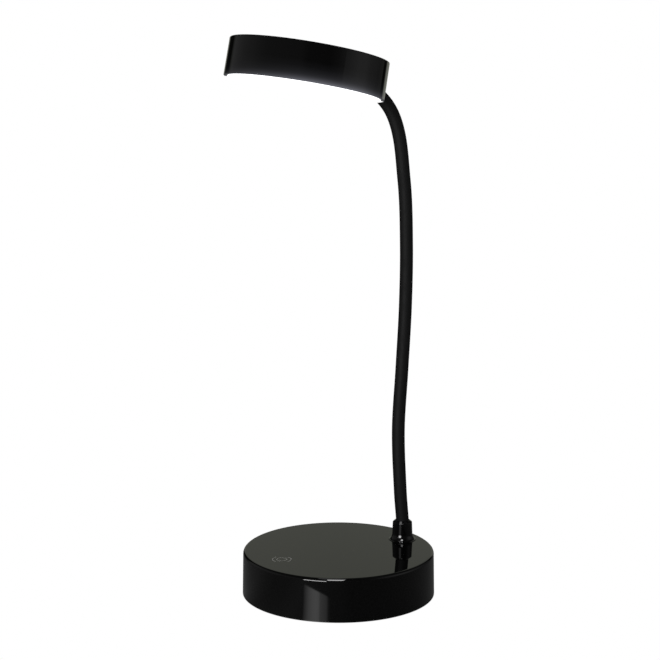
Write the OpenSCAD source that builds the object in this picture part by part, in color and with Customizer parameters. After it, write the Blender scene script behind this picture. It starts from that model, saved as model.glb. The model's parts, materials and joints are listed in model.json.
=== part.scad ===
// Cordless gooseneck desk lamp: round weighted base with a touch key, bendable
// neck and a flat round LED head. Millimetres. +Z is up, the touch key faces -Y,
// and the origin is the centre of the foot pad's underside.

/* [Base] */
// Diameter of the base at its lower edge
base_d = 125; // [112:1:150]
// Height of the base's top face above the table
base_h = 28.5; // [27.5:0.5:36]
// Draft of the base's side, in degrees
base_draft = 1; // [0:0.25:2]
// Wall of the base's side
base_wall = 2.4; // [1.8:0.1:3]
// Thickness of the base's top
base_top_t = 2.4; // [1.8:0.1:2.8]
// Rounding of the base's top edge
base_edge_r = 2; // [0.6:0.1:2.2]
// Height of the shell's lower edge above the table
foot_gap = 1; // [0.6:0.1:1.4]
// Thickness of the bottom cover
cover_t = 2.4; // [2.2:0.1:2.8]
// Gap between the bottom cover and the shell
cover_gap = 0.2; // [0.1:0.05:0.4]
// Diameter of the screw posts
post_d = 7; // [5.5:0.5:8]
// Distance from the shell's inner wall to the middle of a screw post
post_inset = 6.6; // [5.5:0.1:7.5]
// Distance from the bottom cover's edge to the anti-slip pad
pad_inset = 2.4; // [2.2:0.1:8]
// Depth of the pad's recess in the bottom cover
pad_recess = 0.4; // [0.3:0.05:0.5]

/* [Cover screws] */
// Thread diameter of a cover screw
cover_screw_d = 2.6; // [2.2:0.1:3]
// Head diameter of a cover screw
cover_screw_head_d = 5; // [4:0.1:5.4]
// Head height of a cover screw
cover_screw_head_h = 1; // [0.8:0.1:1.1]
// Length of a cover screw below its head
cover_screw_l = 9; // [7:1:14]

/* [Ballast] */
// Gap between the steel ballast plate and the screw posts
ballast_gap = 1.5; // [0.8:0.1:3]
// Thickness of the ballast plate
ballast_t = 6; // [3:0.5:8]

/* [Battery] */
// Diameter of the lithium cell
cell_d = 18.4; // [18:0.1:18.6]
// Length of the lithium cell
cell_l = 65; // [60:0.5:66]
// How far the cell's middle lies in front of the base's middle
cell_forward = 3; // [0:0.5:5]
// Wall of the cell's cradle
cradle_wall = 1.5; // [1:0.1:2]
// Floor of the cradle under the cell
cradle_floor = 1; // [0.6:0.1:1.2]
// Thickness of the nickel tabs
tab_t = 0.4; // [0.2:0.1:0.6]

/* [Control board] */
// Width of the control board
board_w = 26; // [24:1:30]
// Length of the control board, front to back
board_l = 22; // [20:0.5:23]
// Thickness of the control board
board_t = 1.6; // [1:0.2:1.6]
// Gap between the board's rear edge and the shell's inner wall
board_back_gap = 2.4; // [2:0.1:3]
// Height of the standoffs that carry the board
standoff_h = 6; // [5:0.5:6.5]
// Diameter of a standoff
standoff_d = 4.8; // [4:0.2:5]
// Thread diameter of a board screw
board_screw_d = 1.8; // [1.5:0.1:2]

/* [USB inlet] */
// Width of the receptacle's shell
usb_w = 8.94; // [8.9:0.01:9]
// Height of the receptacle's shell
usb_h = 3.26; // [3.2:0.01:3.3]
// Depth of the receptacle, front to back
usb_l = 7.3; // [6.5:0.1:8]
// Sheet thickness of the receptacle's shell
usb_t = 0.3; // [0.2:0.05:0.35]
// How far the receptacle's mouth lies inside the base's side
usb_setback = 0.7; // [0.4:0.1:1.2]
// Gap between the receptacle and its slot in the shell
usb_gap = 0.2; // [0.15:0.05:0.3]

/* [Touch key] */
// Distance of the key's middle from the base's front edge
key_inset = 20; // [19.5:0.1:24]
// How far the key's middle lies beside the base's middle, to the right
key_side = 3.7; // [0:0.1:4]
// Outer diameter of the key's mark
mark_d = 12.5; // [10:0.5:14]
// Diameter of the ring inside the mark
mark_ring_d = 7; // [5:0.5:8]
// Line width of the mark
mark_line = 0.6; // [0.4:0.1:0.8]
// Direction of the mark's arcs, anticlockwise from the right, in degrees
mark_turn = 63; // [0:1:180]
// Depth of the mark's inlay
mark_t = 0.3; // [0.2:0.05:0.5]
// Diameter of the copper electrode under the key
electrode_d = 16; // [12:0.5:18]
// Diameter of the touch board
touch_board_d = 22; // [20:0.5:24]
// Thickness of the touch board
touch_board_t = 1; // [0.8:0.1:1]

/* [Neck] */
// Distance of the neck's axis from the base's rear edge
neck_inset = 14.7; // [14:0.1:16.5]
// Outer diameter of the sleeve
sleeve_d = 8.5; // [8:0.1:9]
// Wall of the sleeve
sleeve_t = 0.75; // [0.6:0.05:0.8]
// Wall of the coiled steel tube
coil_t = 1.4; // [1.1:0.1:1.5]
// Diameter of the two-core lead inside the neck
lead_d = 3; // [2:0.1:3.2]
// Gap between the neck's layers
layer_gap = 0.05; // [0.03:0.01:0.1]
// Length of the neck between the ferrule and the head
neck_l = 286.5; // [210:0.5:350]
// Forward lean of each stretch of the neck from the upright, in degrees
neck_lean = [5.1, 2.5, -3.3, -3.1, -0.6, 3, 11]; // [-15:0.1:15]
// Forward lean above the last bending point
neck_end_lean = 24.8; // [15:0.1:30]
// Forward lean where the neck enters the head
entry_lean = 56.5; // [50:0.5:65]
// Gap between the ball and the cup at a bending point
cup_gap = 0.4; // [0.3:0.05:0.5]

/* [Neck fittings] */
// Height of the ferrule
ferrule_h = 13.3; // [12:0.1:16]
// Diameter of the ferrule's foot
ferrule_foot_d = 18.2; // [16:0.1:19]
// Diameter of the ferrule's body above the foot
ferrule_d = 13.4; // [13:0.1:14]
// Diameter of the ferrule's body below the chamfer
ferrule_top_d = 12.8; // [12.2:0.1:13]
// Height of the foot's flare
ferrule_flare = 4.3; // [2:0.1:5]
// Height of the ferrule's top chamfer
ferrule_chamfer = 1.4; // [1:0.1:1.8]
// Thread diameter of the lower fitting
foot_stud_d = 10; // [9:0.5:10.5]
// Thread diameter of the upper fitting
head_stud_d = 6; // [5.6:0.1:6.4]
// Bore of both fittings
stud_bore_d = 3.6; // [3.5:0.1:3.8]

/* [Head] */
// Diameter of the head at its lower rim
head_d = 99.8; // [94:0.2:110]
// Height of the head
head_h = 23.2; // [22:0.1:28]
// Draft of the head's side, in degrees
head_draft = 0.8; // [0:0.1:1.5]
// Wall of the head's side
head_wall = 3; // [2.6:0.1:3.4]
// Thickness of the head's top
head_top_t = 2.2; // [1.8:0.1:2.6]
// Rounding of the head's top edge
head_edge_r = 0.6; // [0.5:0.1:1.6]
// Tilt of the head, front edge up, in degrees
head_tilt = 10.2; // [5:0.2:15]
// Height of the neck's entry above the head's rim
entry_h = 6.4; // [6.2:0.1:7.5]

/* [Light] */
// Thickness of the diffuser
diffuser_t = 1.5; // [1:0.1:1.6]
// Depth of the diffuser inside the rim
diffuser_inset = 0.5; // [0.3:0.1:0.6]
// Width of the ledge that the diffuser seats on
diffuser_ledge = 1.1; // [0.8:0.1:1.4]
// Gap round the diffuser
diffuser_gap = 0.15; // [0.1:0.05:0.3]
// Diameter of the LED board
led_board_d = 66; // [60:1:68]
// Thickness of the LED board
led_board_t = 1.6; // [1:0.2:1.6]
// Height of the LED board's top above the rim
led_board_h = 12; // [11.4:0.1:12.2]
// LEDs on the outer ring
led_outer_n = 16; // [8:1:20]
// LEDs on the inner ring
led_inner_n = 8; // [4:1:8]
// Diameter of the outer ring of LEDs
led_outer_d = 56; // [52:1:57]
// Diameter of the inner ring of LEDs
led_inner_d = 22; // [18:1:26]
// Diameter of the ring of LED board screws
led_screw_ring_d = 39; // [36:1:42]
// Thread diameter of an LED board screw
led_screw_d = 2; // [1.8:0.1:2.4]

/* [Hidden] */
LINKS = len(neck_lean);
neck_link = neck_l / LINKS; // length of neck between two bending points
$fn = 96;
cut = 1;          // how far a cut runs past the face it opens
hole_gap = 0.05;  // radial gap of a thread in its hole
screw_room = 0.3; // radial gap round a screw head

// base
base_r = base_d / 2;
base_top_r = base_r - (base_h - foot_gap) * tan(base_draft);
base_in_r = base_top_r - base_wall;
base_ceiling = base_h - base_top_t;
base_lip = 0.3; // chamfer of the shell's lower edge
cover_r = base_in_r - cover_gap;
cover_top = foot_gap + cover_t;
post_ring_r = base_in_r - post_inset;
ballast_r = post_ring_r - post_d / 2 - ballast_gap;
neck_back = base_r - neck_inset;
key_forward = base_r - key_inset;
pad_r = cover_r - pad_inset;
pad_h = foot_gap + pad_recess;
pad_gap = 0.2;
cover_screw_seat = pad_h + cover_screw_head_h + 0.05;

// battery
fit_gap = 0.05; // gap between the cell, its tabs and its cradle
cell_r = cell_d / 2;
cell_z = cover_top + cradle_floor + cell_r + 2 * fit_gap;
cell_nub = 0.8;
cradle_in_l = cell_l + 2 * tab_t + 4 * fit_gap;
cradle_l = cradle_in_l + 2 * cradle_wall;
cradle_w = cell_d + 4 * fit_gap + 2 * cradle_wall;
cradle_end_h = 6; // how far the cradle's end walls rise above the cell's axis
cradle_gap = 0.5; // gap between the cradle and the ballast
tab_w = 7;
tab_below = 4;   // how far a tab reaches below the cell's axis
tab_above = 7.5; // how far a tab reaches above it
tab_x = cell_l / 2 + fit_gap + tab_t / 2;
tab_low = cell_z - tab_below;
tab_top = cell_z + tab_above;
wire_d = 1.2;
wire_rise = 1.4;  // how far a wire stands up before its first knee
wire_clear = 4;   // how far a wire keeps from the cradle's side
wire_run = 20;    // how far a battery wire runs inwards behind the cradle
wire_spread = 1.2; // half the distance between the two wires in a socket

// control board
board_back = base_in_r - board_back_gap;
board_front = board_back - board_l;
board_z = cover_top + standoff_h;
board_top = board_z + board_t;
board_screw_inset = 3.5;
board_screw_x = board_w / 2 - board_screw_inset;
board_screw_ys = [board_front + board_screw_inset, board_back - board_screw_inset];
board_screw_head_h = 1.2;
board_room = 2.5; // gap between the board and the ballast round it
socket_w = 5.5;
socket_l = 4.5;
socket_h = 4;
socket_x = 1.4 + socket_w / 2;
socket_y = board_front + 0.5 + socket_l / 2;
socket_top = board_top + socket_h;
chip_size = [5, 4, 1.5];
inductor_size = [6, 6, 3];

// USB inlet
usb_z = board_top + usb_h / 2;
usb_mouth = base_r - (usb_z - foot_gap) * tan(base_draft) - usb_setback;
usb_back = usb_mouth - usb_l;

// touch key
mark_gap = 0.02;
electrode_t = 0.3;
touch_board_top = base_ceiling - electrode_t;
touch_board_z = touch_board_top - touch_board_t;
touch_chip_size = [4, 4, 1];
touch_lead_y = -key_forward + touch_board_d / 2 - 2;

// neck layers
sleeve_r = sleeve_d / 2;
coil_r = sleeve_r - sleeve_t - layer_gap;
coil_in_r = coil_r - coil_t;
lead_r = lead_d / 2;
cup_r = sleeve_r + cup_gap;
stud_bore_r = stud_bore_d / 2;
bore_gap = 0.1; // radial gap between the sleeve and what it passes through
thread_over = 1; // how far a fitting's thread stands out of its nut
lead_drop = 1.5; // how far the lead drops below the lower fitting before its first knee
lead_bow = 2.2;  // how far the lead stands up out of a socket or off a board
seam = 0.01;    // how much thicker a bent stretch is than a straight one
run_in = 0.3;   // how far a straight stretch runs into a bent one

// lower fitting and ferrule
flange_r = 6;
flange_t = 2;
foot_socket_h = 4;
foot_socket_r = coil_r + layer_gap + 1.5;
foot_nut_t = 3;
foot_nut_flats = 1.4 * foot_stud_d;
foot_washer_t = 1;
foot_washer_r = 0.9 * foot_stud_d;
foot_stud_low = base_ceiling - foot_washer_t - foot_nut_t - thread_over;
sleeve_low = base_h + flange_t + foot_socket_h + layer_gap;
ferrule_top = base_h + ferrule_h;
ferrule_mouth_r = 4.8; // outer radius at the top of the chamfer
knee_r = 30;           // bending radius of the neck inside the ferrule
knee_h = knee_r * tan(neck_lean[0] / 2);

// neck line, in the plane x = 0
function ahead(lean, l) = [0, -l * sin(lean), l * cos(lean)];
function pivot(k) = k == 0 ?
    [0, neck_back, ferrule_top] + ahead(neck_lean[0], neck_link / 2) :
    pivot(k - 1) + ahead(neck_lean[k], neck_link);
last_pivot = pivot(LINKS - 1);
end_turn = entry_lean - neck_end_lean;
end_arc_r = (neck_link / 2) / (end_turn * PI / 180);
entry = last_pivot + end_arc_r * [0, cos(entry_lean) - cos(neck_end_lean),
                                  sin(entry_lean) - sin(neck_end_lean)];

// upper fitting, measured along the neck from the head's outer wall
head_sleeve_end = 3;
head_socket_end = 6.5;
socket_floor = 1;
boss_r = 7;
boss_end = 8.5;
head_washer_t = 0.8;
head_washer_r = head_stud_d;
head_nut_t = 3;
head_nut_flats = 10 / 6 * head_stud_d;
head_stud_end = boss_end + head_washer_t + head_nut_t + thread_over;

// head, in its own frame: z = 0 is the rim's plane
head_r = head_d / 2;
head_top_r = head_r - head_h * tan(head_draft);
entry_r = head_r - entry_h * tan(head_draft);
head_at = entry - [0, entry_r * cos(head_tilt) + entry_h * sin(head_tilt),
                   entry_h * cos(head_tilt) - entry_r * sin(head_tilt)];
head_in_r = head_top_r - head_wall;
head_ceiling = head_h - head_top_t;
rim_in_r = head_in_r + diffuser_ledge;
diffuser_top = diffuser_inset + diffuser_t;
led_board_r = led_board_d / 2;
led_board_z = led_board_h - led_board_t;
lead_inset = 4; // distance of the lead's solder joint from the LED board's edge
led_size = [2.8, 3.5, 0.7];
led_post_r = 3;
led_screw_l = 6;
led_screw_head_h = 1.3;

// ---------- shared shapes ----------

// Solid of revolution with a drafted side and a rounded top edge
module drafted_disc(r, top_r, low, high, edge_r, lip = 0) {
    rotate_extrude() {
        polygon([[0, low], [r - lip, low], [r, low + lip], [top_r, high - edge_r],
                 [top_r - edge_r, high], [0, high]]);
        intersection() {
            translate([top_r - edge_r, high - edge_r]) circle(r = edge_r);
            translate([top_r - edge_r, high - edge_r]) square(edge_r);
        }
    }
}

// Wire through a list of points, with flat ends and slightly thicker round knees.
// It has a knee at its start too where another bar ends there.
module wire(points, r, start_knee = false) {
    knee = 1.04 * r;
    if (start_knee) translate(points[0]) sphere(r = knee, $fn = 24);
    for (i = [1:len(points) - 1]) {
        v = points[i] - points[i - 1];
        translate(points[i - 1])
            rotate([0, acos(v[2] / norm(v)), atan2(v[1], v[0])])
                cylinder(h = norm(v), r = r, $fn = 24);
        if (i < len(points) - 1) translate(points[i]) sphere(r = knee, $fn = 24);
    }
}

// Cross-recessed screw that points up, with its seat at z = 0
module screw(d, l, head_d, head_h) {
    recess = 0.6 * head_h;
    blade = [0.6 * head_d, 0.14 * head_d, 2 * recess];
    difference() {
        union() {
            translate([0, 0, -head_h]) cylinder(h = head_h, r = head_d / 2, $fn = 48);
            cylinder(h = l, r = d / 2, $fn = 32);
        }
        for (turn = [0, 90]) translate([0, 0, -head_h]) rotate(turn) cube(blade, center = true);
    }
}

module ring(r, in_r, h) {
    difference() {
        cylinder(h = h, r = r);
        translate([0, 0, -cut]) cylinder(h = h + 2 * cut, r = in_r);
    }
}

module hex_nut(flats, bore_r, h) {
    difference() {
        cylinder(h = h, r = flats / sqrt(3), $fn = 6);
        translate([0, 0, -cut]) cylinder(h = h + 2 * cut, r = bore_r);
    }
}

module at_posts() {
    for (turn = [45:90:315]) rotate(turn) translate([post_ring_r, 0, 0]) children();
}

module at_board_screws() {
    for (x = [-board_screw_x, board_screw_x], y = board_screw_ys) translate([x, y, 0]) children();
}

module at_neck_foot() {
    translate([0, neck_back, 0]) children();
}

module at_entry() {
    translate(entry) rotate([entry_lean, 0, 0]) children();
}

module at_head() {
    translate(head_at) rotate([-head_tilt, 0, 0]) children();
}

// ---------- neck layers ----------

// Arc of round bar that starts at the origin along +Z and bends towards -Y.
// It is a hair thicker than the straight bars that run into its ends.
module bend(arc_r, turn, r) {
    translate([0, -arc_r, 0]) rotate(a = 120, v = [1, 1, 1])
        rotate_extrude(angle = turn) translate([arc_r, 0]) circle(r = r + seam, $fn = 48);
}

// Moves to the end of such an arc and turns with it
module after_bend(arc_r, turn) {
    translate([0, arc_r * (cos(turn) - 1), arc_r * sin(turn)]) rotate([turn, 0, 0]) children();
}

// Straight stretch from low to h that ends in a ball on the next bending point; r is its radius
module ball_ended(low, h, r) {
    rotate_extrude() intersection() {
        union() {
            translate([0, low]) square([sleeve_r, h - low]);
            intersection() {
                translate([0, h]) circle(r = sleeve_r);
                translate([0, h]) square(sleeve_r);
            }
        }
        translate([0, low]) square([r, h - low + sleeve_r + cut]);
    }
}

// Root stretch from low in the ferrule to the first bending point: a bar with a ball end,
// or a hole that runs out past it
module root_bar(low, r, hole = false) {
    bend_low = ferrule_top - knee_h;
    at_neck_foot() {
        translate([0, 0, low]) cylinder(h = bend_low - low + run_in, r = r, $fn = 48);
        translate([0, 0, bend_low]) {
            bend(knee_r, neck_lean[0], r);
            after_bend(knee_r, neck_lean[0])
                if (hole) translate([0, 0, -run_in]) cylinder(h = neck_link, r = r, $fn = 48);
                else ball_ended(-run_in, neck_link / 2 - knee_h, r);
        }
    }
}

// Middle stretch number k, between two bending points
module middle_layer(k, r, in_r) {
    translate(pivot(k - 1)) rotate([neck_lean[k], 0, 0]) difference() {
        ball_ended(0, neck_link, r);
        sphere(r = cup_r);
        if (in_r > 0) translate([0, 0, -cut]) cylinder(h = 2 * neck_link, r = in_r, $fn = 48);
    }
}

// Last stretch, which bends into the head and runs on for tail beyond its outer wall
module end_bar(tail, r) {
    translate(last_pivot) rotate([neck_end_lean, 0, 0]) bend(end_arc_r, end_turn, r);
    at_entry() translate([0, 0, -run_in]) cylinder(h = tail + run_in, r = r, $fn = 48);
}

// One layer of the neck in stretch k: 0 is the root and LINKS is the end in the head
module neck_layer(k, r, in_r, root_low, tail) {
    if (k == 0) difference() {
        root_bar(root_low, r);
        if (in_r > 0) root_bar(root_low - cut, in_r, hole = true);
    }
    else if (k < LINKS) middle_layer(k, r, in_r);
    else difference() {
        end_bar(tail, r);
        if (in_r > 0) end_bar(tail + cut, in_r);
        translate(last_pivot) sphere(r = cup_r);
    }
}

module neck_sleeve(k) {
    color("#151515") neck_layer(k, sleeve_r, sleeve_r - sleeve_t, sleeve_low, head_sleeve_end);
}

module neck_coil(k) {
    color("silver") neck_layer(k, coil_r, coil_in_r, base_h + flange_t,
                               head_socket_end - socket_floor - layer_gap);
}

// The lead runs on to the sockets in the base and to the LED board in the head
module neck_lead(k) {
    low = foot_stud_low - lead_drop;
    color("white") {
        neck_layer(k, lead_r, 0, low, head_stud_end);
        if (k == 0) wire([[0, neck_back, low],
                          [-socket_x, socket_y + lead_d, socket_top + lead_bow + lead_r / 2],
                          [-socket_x, socket_y, socket_top + lead_bow],
                          [-socket_x, socket_y, socket_top]], lead_r, start_knee = true);
        if (k == LINKS) head_lead_tail();
    }
}

// From the upper fitting to the top of the LED board
module head_lead_tail() {
    rise = entry_lean + head_tilt;
    function along(t) = [0, entry_r - t * sin(rise), entry_h + t * cos(rise)];
    tip = along(head_stud_end);
    board_end = led_board_r - lead_inset;
    over = led_board_h + lead_bow - lead_r / 3;
    at_head() wire([tip, [0, led_board_r + lead_r / 2, max(tip[2], over) + lead_r / 3],
                    [0, board_end, over], [0, board_end, led_board_h]],
                   lead_r, start_knee = true);
}

// ---------- neck fittings ----------

// Threaded fitting that holds the neck's coil above the base's top
module foot_stud() {
    color("silver") at_neck_foot() difference() {
        union() {
            translate([0, 0, foot_stud_low])
                cylinder(h = base_h - foot_stud_low, r = foot_stud_d / 2);
            translate([0, 0, base_h]) cylinder(h = flange_t, r = flange_r);
            translate([0, 0, base_h + flange_t]) cylinder(h = foot_socket_h, r = foot_socket_r);
        }
        translate([0, 0, foot_stud_low - cut])
            cylinder(h = base_h - foot_stud_low + flange_t + 2 * cut, r = stud_bore_r);
        translate([0, 0, base_h + flange_t])
            cylinder(h = foot_socket_h + cut, r = coil_r + layer_gap);
    }
}

module foot_washer() {
    color("silver") at_neck_foot() translate([0, 0, base_ceiling - foot_washer_t])
        ring(foot_washer_r, foot_stud_d / 2 + hole_gap, foot_washer_t);
}

module foot_nut() {
    color("gold") at_neck_foot() translate([0, 0, base_ceiling - foot_washer_t - foot_nut_t])
        hex_nut(foot_nut_flats, foot_stud_d / 2 + hole_gap, foot_nut_t);
}

// Turned cover that hides the lower fitting, with a flared foot and a chamfered top
module neck_ferrule() {
    foot_r = ferrule_foot_d / 2;
    low_r = ferrule_d / 2;
    top_r = ferrule_top_d / 2;
    flare_w = foot_r - low_r;
    edge = 0.3;
    color("#101010") at_neck_foot() translate([0, 0, base_h]) rotate_extrude() difference() {
        union() {
            polygon([[0, 0], [foot_r, 0], [foot_r, edge], [low_r, ferrule_flare],
                     [top_r, ferrule_h - ferrule_chamfer], [ferrule_mouth_r, ferrule_h],
                     [0, ferrule_h]]);
            square([foot_r - flare_w / 2, edge]);
        }
        translate([foot_r + 0.01, ferrule_flare + edge])
            scale([1, ferrule_flare / flare_w]) circle(r = flare_w);
        square([flange_r + bore_gap, flange_t + bore_gap]);
        square([foot_socket_r + bore_gap, flange_t + foot_socket_h + bore_gap]);
        square([sleeve_r + bore_gap, ferrule_h + cut]);
    }
}

// Threaded fitting that holds the neck's coil in the head's wall
module head_stud() {
    color("silver") at_entry() difference() {
        union() {
            translate([0, 0, head_sleeve_end + layer_gap])
                cylinder(h = head_socket_end - head_sleeve_end - layer_gap, r = sleeve_r);
            translate([0, 0, head_socket_end])
                cylinder(h = head_stud_end - head_socket_end, r = head_stud_d / 2);
        }
        cylinder(h = head_stud_end + cut, r = stud_bore_r);
        cylinder(h = head_socket_end - socket_floor, r = coil_r + layer_gap);
    }
}

module head_washer() {
    color("silver") at_entry() translate([0, 0, boss_end])
        ring(head_washer_r, head_stud_d / 2 + hole_gap, head_washer_t);
}

module head_nut() {
    color("gold") at_entry() translate([0, 0, boss_end + head_washer_t])
        hex_nut(head_nut_flats, head_stud_d / 2 + hole_gap, head_nut_t);
}

// ---------- base ----------

module stadium_bar(w, h, l) {
    for (x = [-1, 1]) translate([x * (w - h) / 2, 0, 0])
        rotate([-90, 0, 0]) cylinder(h = l, r = h / 2, $fn = 48);
    translate([-(w - h) / 2, 0, -h / 2]) cube([w - h, l, h]);
}

module at_key() {
    translate([key_side, -key_forward, 0]) children();
}

// Mark of the touch key: a ring between two arcs
module mark_shape(gap, depth) {
    arc_span = 105;
    module band(outer_r, span) {
        rotate_extrude(angle = span) translate([outer_r - mark_line - gap, base_h - depth])
            square([mark_line + 2 * gap, depth + (gap > 0 ? cut : 0)]);
    }
    at_key() {
        band(mark_ring_d / 2, 360);
        for (turn = [mark_turn, mark_turn + 180])
            rotate(turn - arc_span / 2) band(mark_d / 2, arc_span);
    }
}

module base_shell() {
    color("#1c1c1a") difference() {
        union() {
            difference() {
                drafted_disc(base_r, base_top_r, foot_gap, base_h, base_edge_r, base_lip);
                cylinder(h = base_ceiling, r = base_in_r);
            }
            at_posts() translate([0, 0, cover_top])
                cylinder(h = base_ceiling - cover_top + cut, r = post_d / 2);
        }
        at_posts() translate([0, 0, cover_top - cut])
            cylinder(h = cover_screw_l + cut, r = cover_screw_d / 2 + hole_gap);
        at_neck_foot() translate([0, 0, base_ceiling - cut])
            cylinder(h = base_top_t + 2 * cut, r = foot_stud_d / 2 + hole_gap);
        translate([0, base_in_r - cut, usb_z])
            stadium_bar(usb_w + 2 * usb_gap, usb_h + 2 * usb_gap, 2 * base_wall + 2 * cut);
        mark_shape(mark_gap, mark_t);
    }
}

module touch_mark() {
    color("#6a6a66") mark_shape(0, mark_t);
}

module bottom_cover() {
    color("#1a1a1a") difference() {
        union() {
            translate([0, 0, foot_gap]) cylinder(h = cover_t, r = cover_r);
            at_board_screws() translate([0, 0, cover_top - cut])
                cylinder(h = standoff_h + cut, r = standoff_d / 2, $fn = 48);
        }
        cylinder(h = pad_h, r = pad_r + pad_gap);
        at_posts() {
            cylinder(h = cover_top + cut, r = cover_screw_d / 2 + hole_gap, $fn = 48);
            cylinder(h = cover_screw_seat, r = cover_screw_head_d / 2 + screw_room, $fn = 48);
        }
        at_board_screws() translate([0, 0, cover_top])
            cylinder(h = standoff_h + cut, r = board_screw_d / 2 + hole_gap, $fn = 32);
    }
}

module foot_pad() {
    edge = 0.3;
    color("#202020") rotate_extrude()
        polygon([[0, 0], [pad_r - edge, 0], [pad_r, edge], [pad_r, pad_h], [0, pad_h]]);
}

module cover_screws() {
    color("silver") at_posts() translate([0, 0, cover_screw_seat])
        screw(cover_screw_d, cover_screw_l - 1, cover_screw_head_d, cover_screw_head_h);
}

// Steel plate with openings for the battery cradle and the control board
module ballast_plate() {
    slot = [cradle_l + 2 * cradle_gap, cradle_w + 2 * cradle_gap, ballast_t + 2 * cut];
    notch_w = board_w + 2 * board_room;
    notch_y = board_front - board_room;
    color("#8a8f94") difference() {
        translate([0, 0, cover_top]) cylinder(h = ballast_t, r = ballast_r);
        translate([-slot[0] / 2, -cell_forward - slot[1] / 2, cover_top - cut]) cube(slot);
        translate([-notch_w / 2, notch_y, cover_top - cut])
            cube([notch_w, base_r, ballast_t + 2 * cut]);
    }
}

module battery_cradle() {
    color("#2b2b2b") translate([0, -cell_forward, 0]) difference() {
        union() {
            translate([-cradle_l / 2, -cradle_w / 2, cover_top])
                cube([cradle_l, cradle_w, cell_z - cover_top]);
            for (x = [-cradle_l / 2, cradle_in_l / 2]) translate([x, -cradle_w / 2, cover_top])
                cube([cradle_wall, cradle_w, cell_z + cradle_end_h - cover_top]);
        }
        translate([-cradle_in_l / 2, 0, cell_z]) rotate([0, 90, 0])
            cylinder(h = cradle_in_l, r = cell_r + 2 * fit_gap);
    }
}

module battery_cell() {
    color("#2f6fb0") translate([-cell_l / 2, -cell_forward, cell_z]) rotate([0, 90, 0]) {
        cylinder(h = cell_l - cell_nub, r = cell_r);
        cylinder(h = cell_l, r = 2.9);
    }
}

module battery_tabs() {
    color("silver") for (x = [-tab_x, tab_x])
        translate([x - tab_t / 2, -cell_forward - tab_w / 2, tab_low])
            cube([tab_t, tab_w, tab_top - tab_low]);
}

module battery_leads() {
    wire_r = wire_d / 2;
    wire_x = cell_l / 2 + fit_gap + wire_r;
    side = cradle_l / 2;
    behind = cradle_w / 2 - cell_forward + wire_clear;
    color("red") for (i = [-1, 1]) wire([
        [i * wire_x, -cell_forward, tab_top], [i * wire_x, -cell_forward, tab_top + wire_rise],
        [i * side, -cell_forward, tab_top + wire_rise], [i * side, behind, tab_top],
        [i * (side - wire_run), board_front - wire_clear, socket_top + 2 * wire_rise],
        [socket_x + i * wire_spread, socket_y, socket_top + 2 * wire_rise],
        [socket_x + i * wire_spread, socket_y, socket_top]], wire_r);
}

module control_board() {
    color("#1f6b3a") difference() {
        translate([-board_w / 2, board_front, board_z]) cube([board_w, board_l, board_t]);
        at_board_screws() translate([0, 0, board_z - cut])
            cylinder(h = board_t + 2 * cut, r = board_screw_d / 2 + hole_gap, $fn = 32);
    }
}

module board_screws() {
    color("silver") at_board_screws() translate([0, 0, board_top]) rotate([180, 0, 0])
        screw(board_screw_d, board_t + standoff_h - 2, 2 * board_screw_d, board_screw_head_h);
}

module control_chip() {
    color("#222222")
        translate([-board_w / 4 - chip_size[0] / 2, board_front + board_l / 2, board_top])
            cube(chip_size);
}

module power_inductor() {
    color("#555555")
        translate([board_w / 4 - inductor_size[0] / 2, board_front + board_l / 2 - 3, board_top])
            cube(inductor_size);
}

module lead_sockets() {
    color("ivory") for (x = [-socket_x, socket_x])
        translate([x - socket_w / 2, socket_y - socket_l / 2, board_top])
            cube([socket_w, socket_l, socket_h]);
}

module usb_receptacle() {
    color("silver") difference() {
        translate([0, usb_back, usb_z]) stadium_bar(usb_w, usb_h, usb_l);
        translate([0, usb_back + 1, usb_z])
            stadium_bar(usb_w - 2 * usb_t, usb_h - 2 * usb_t, usb_l);
    }
}

module usb_tongue() {
    tongue = [6.7, usb_l - 1.8, 0.7];
    color("#222222") translate([-tongue[0] / 2, usb_back + 1, usb_z - tongue[2] / 2]) cube(tongue);
}

module touch_electrode() {
    color("#c77b3a") at_key() translate([0, 0, touch_board_top])
        cylinder(h = electrode_t, r = electrode_d / 2);
}

module touch_board() {
    color("#1f6b3a") at_key() translate([0, 0, touch_board_z])
        cylinder(h = touch_board_t, r = touch_board_d / 2);
}

module touch_chip() {
    color("#222222") at_key() translate([-touch_chip_size[0] / 2, -touch_chip_size[1] / 2,
                                         touch_board_z - touch_chip_size[2]])
        cube(touch_chip_size);
}

// Runs over the battery from the touch board to the control board
module touch_lead() {
    wire_r = wire_d / 2;
    over = (cell_z + cell_r + base_ceiling) / 2;
    pad_y = board_front + wire_rise;
    pad_rise = 1.15 * wire_rise;
    color("white") wire([
        [0, touch_lead_y, touch_board_z],
        [0, touch_lead_y, touch_board_z - wire_d],
        [0, -cell_forward - cell_r - wire_clear, over],
        [0, -cell_forward + cell_r + wire_clear, over],
        [0, board_front - wire_clear / 2, board_top + 2 * wire_rise],
        [0, pad_y, board_top + pad_rise], [0, pad_y, board_top]], wire_r);
}

// ---------- head ----------

// Boss behind the neck's entry, trimmed by the head's outer shape and the diffuser
module entry_boss() {
    intersection() {
        drafted_disc(head_r, head_top_r, 0, head_h, head_edge_r);
        translate([0, entry_r, entry_h]) rotate([entry_lean + head_tilt, 0, 0])
            translate([0, 0, -boss_r]) cylinder(h = boss_end + boss_r, r = boss_r);
        translate([-head_r, 0, diffuser_top + 0.1]) cube([head_d, head_d, head_h]);
    }
}

module at_led_screws() {
    for (turn = [30:120:270]) rotate(turn) translate([led_screw_ring_d / 2, 0, 0]) children();
}

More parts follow.
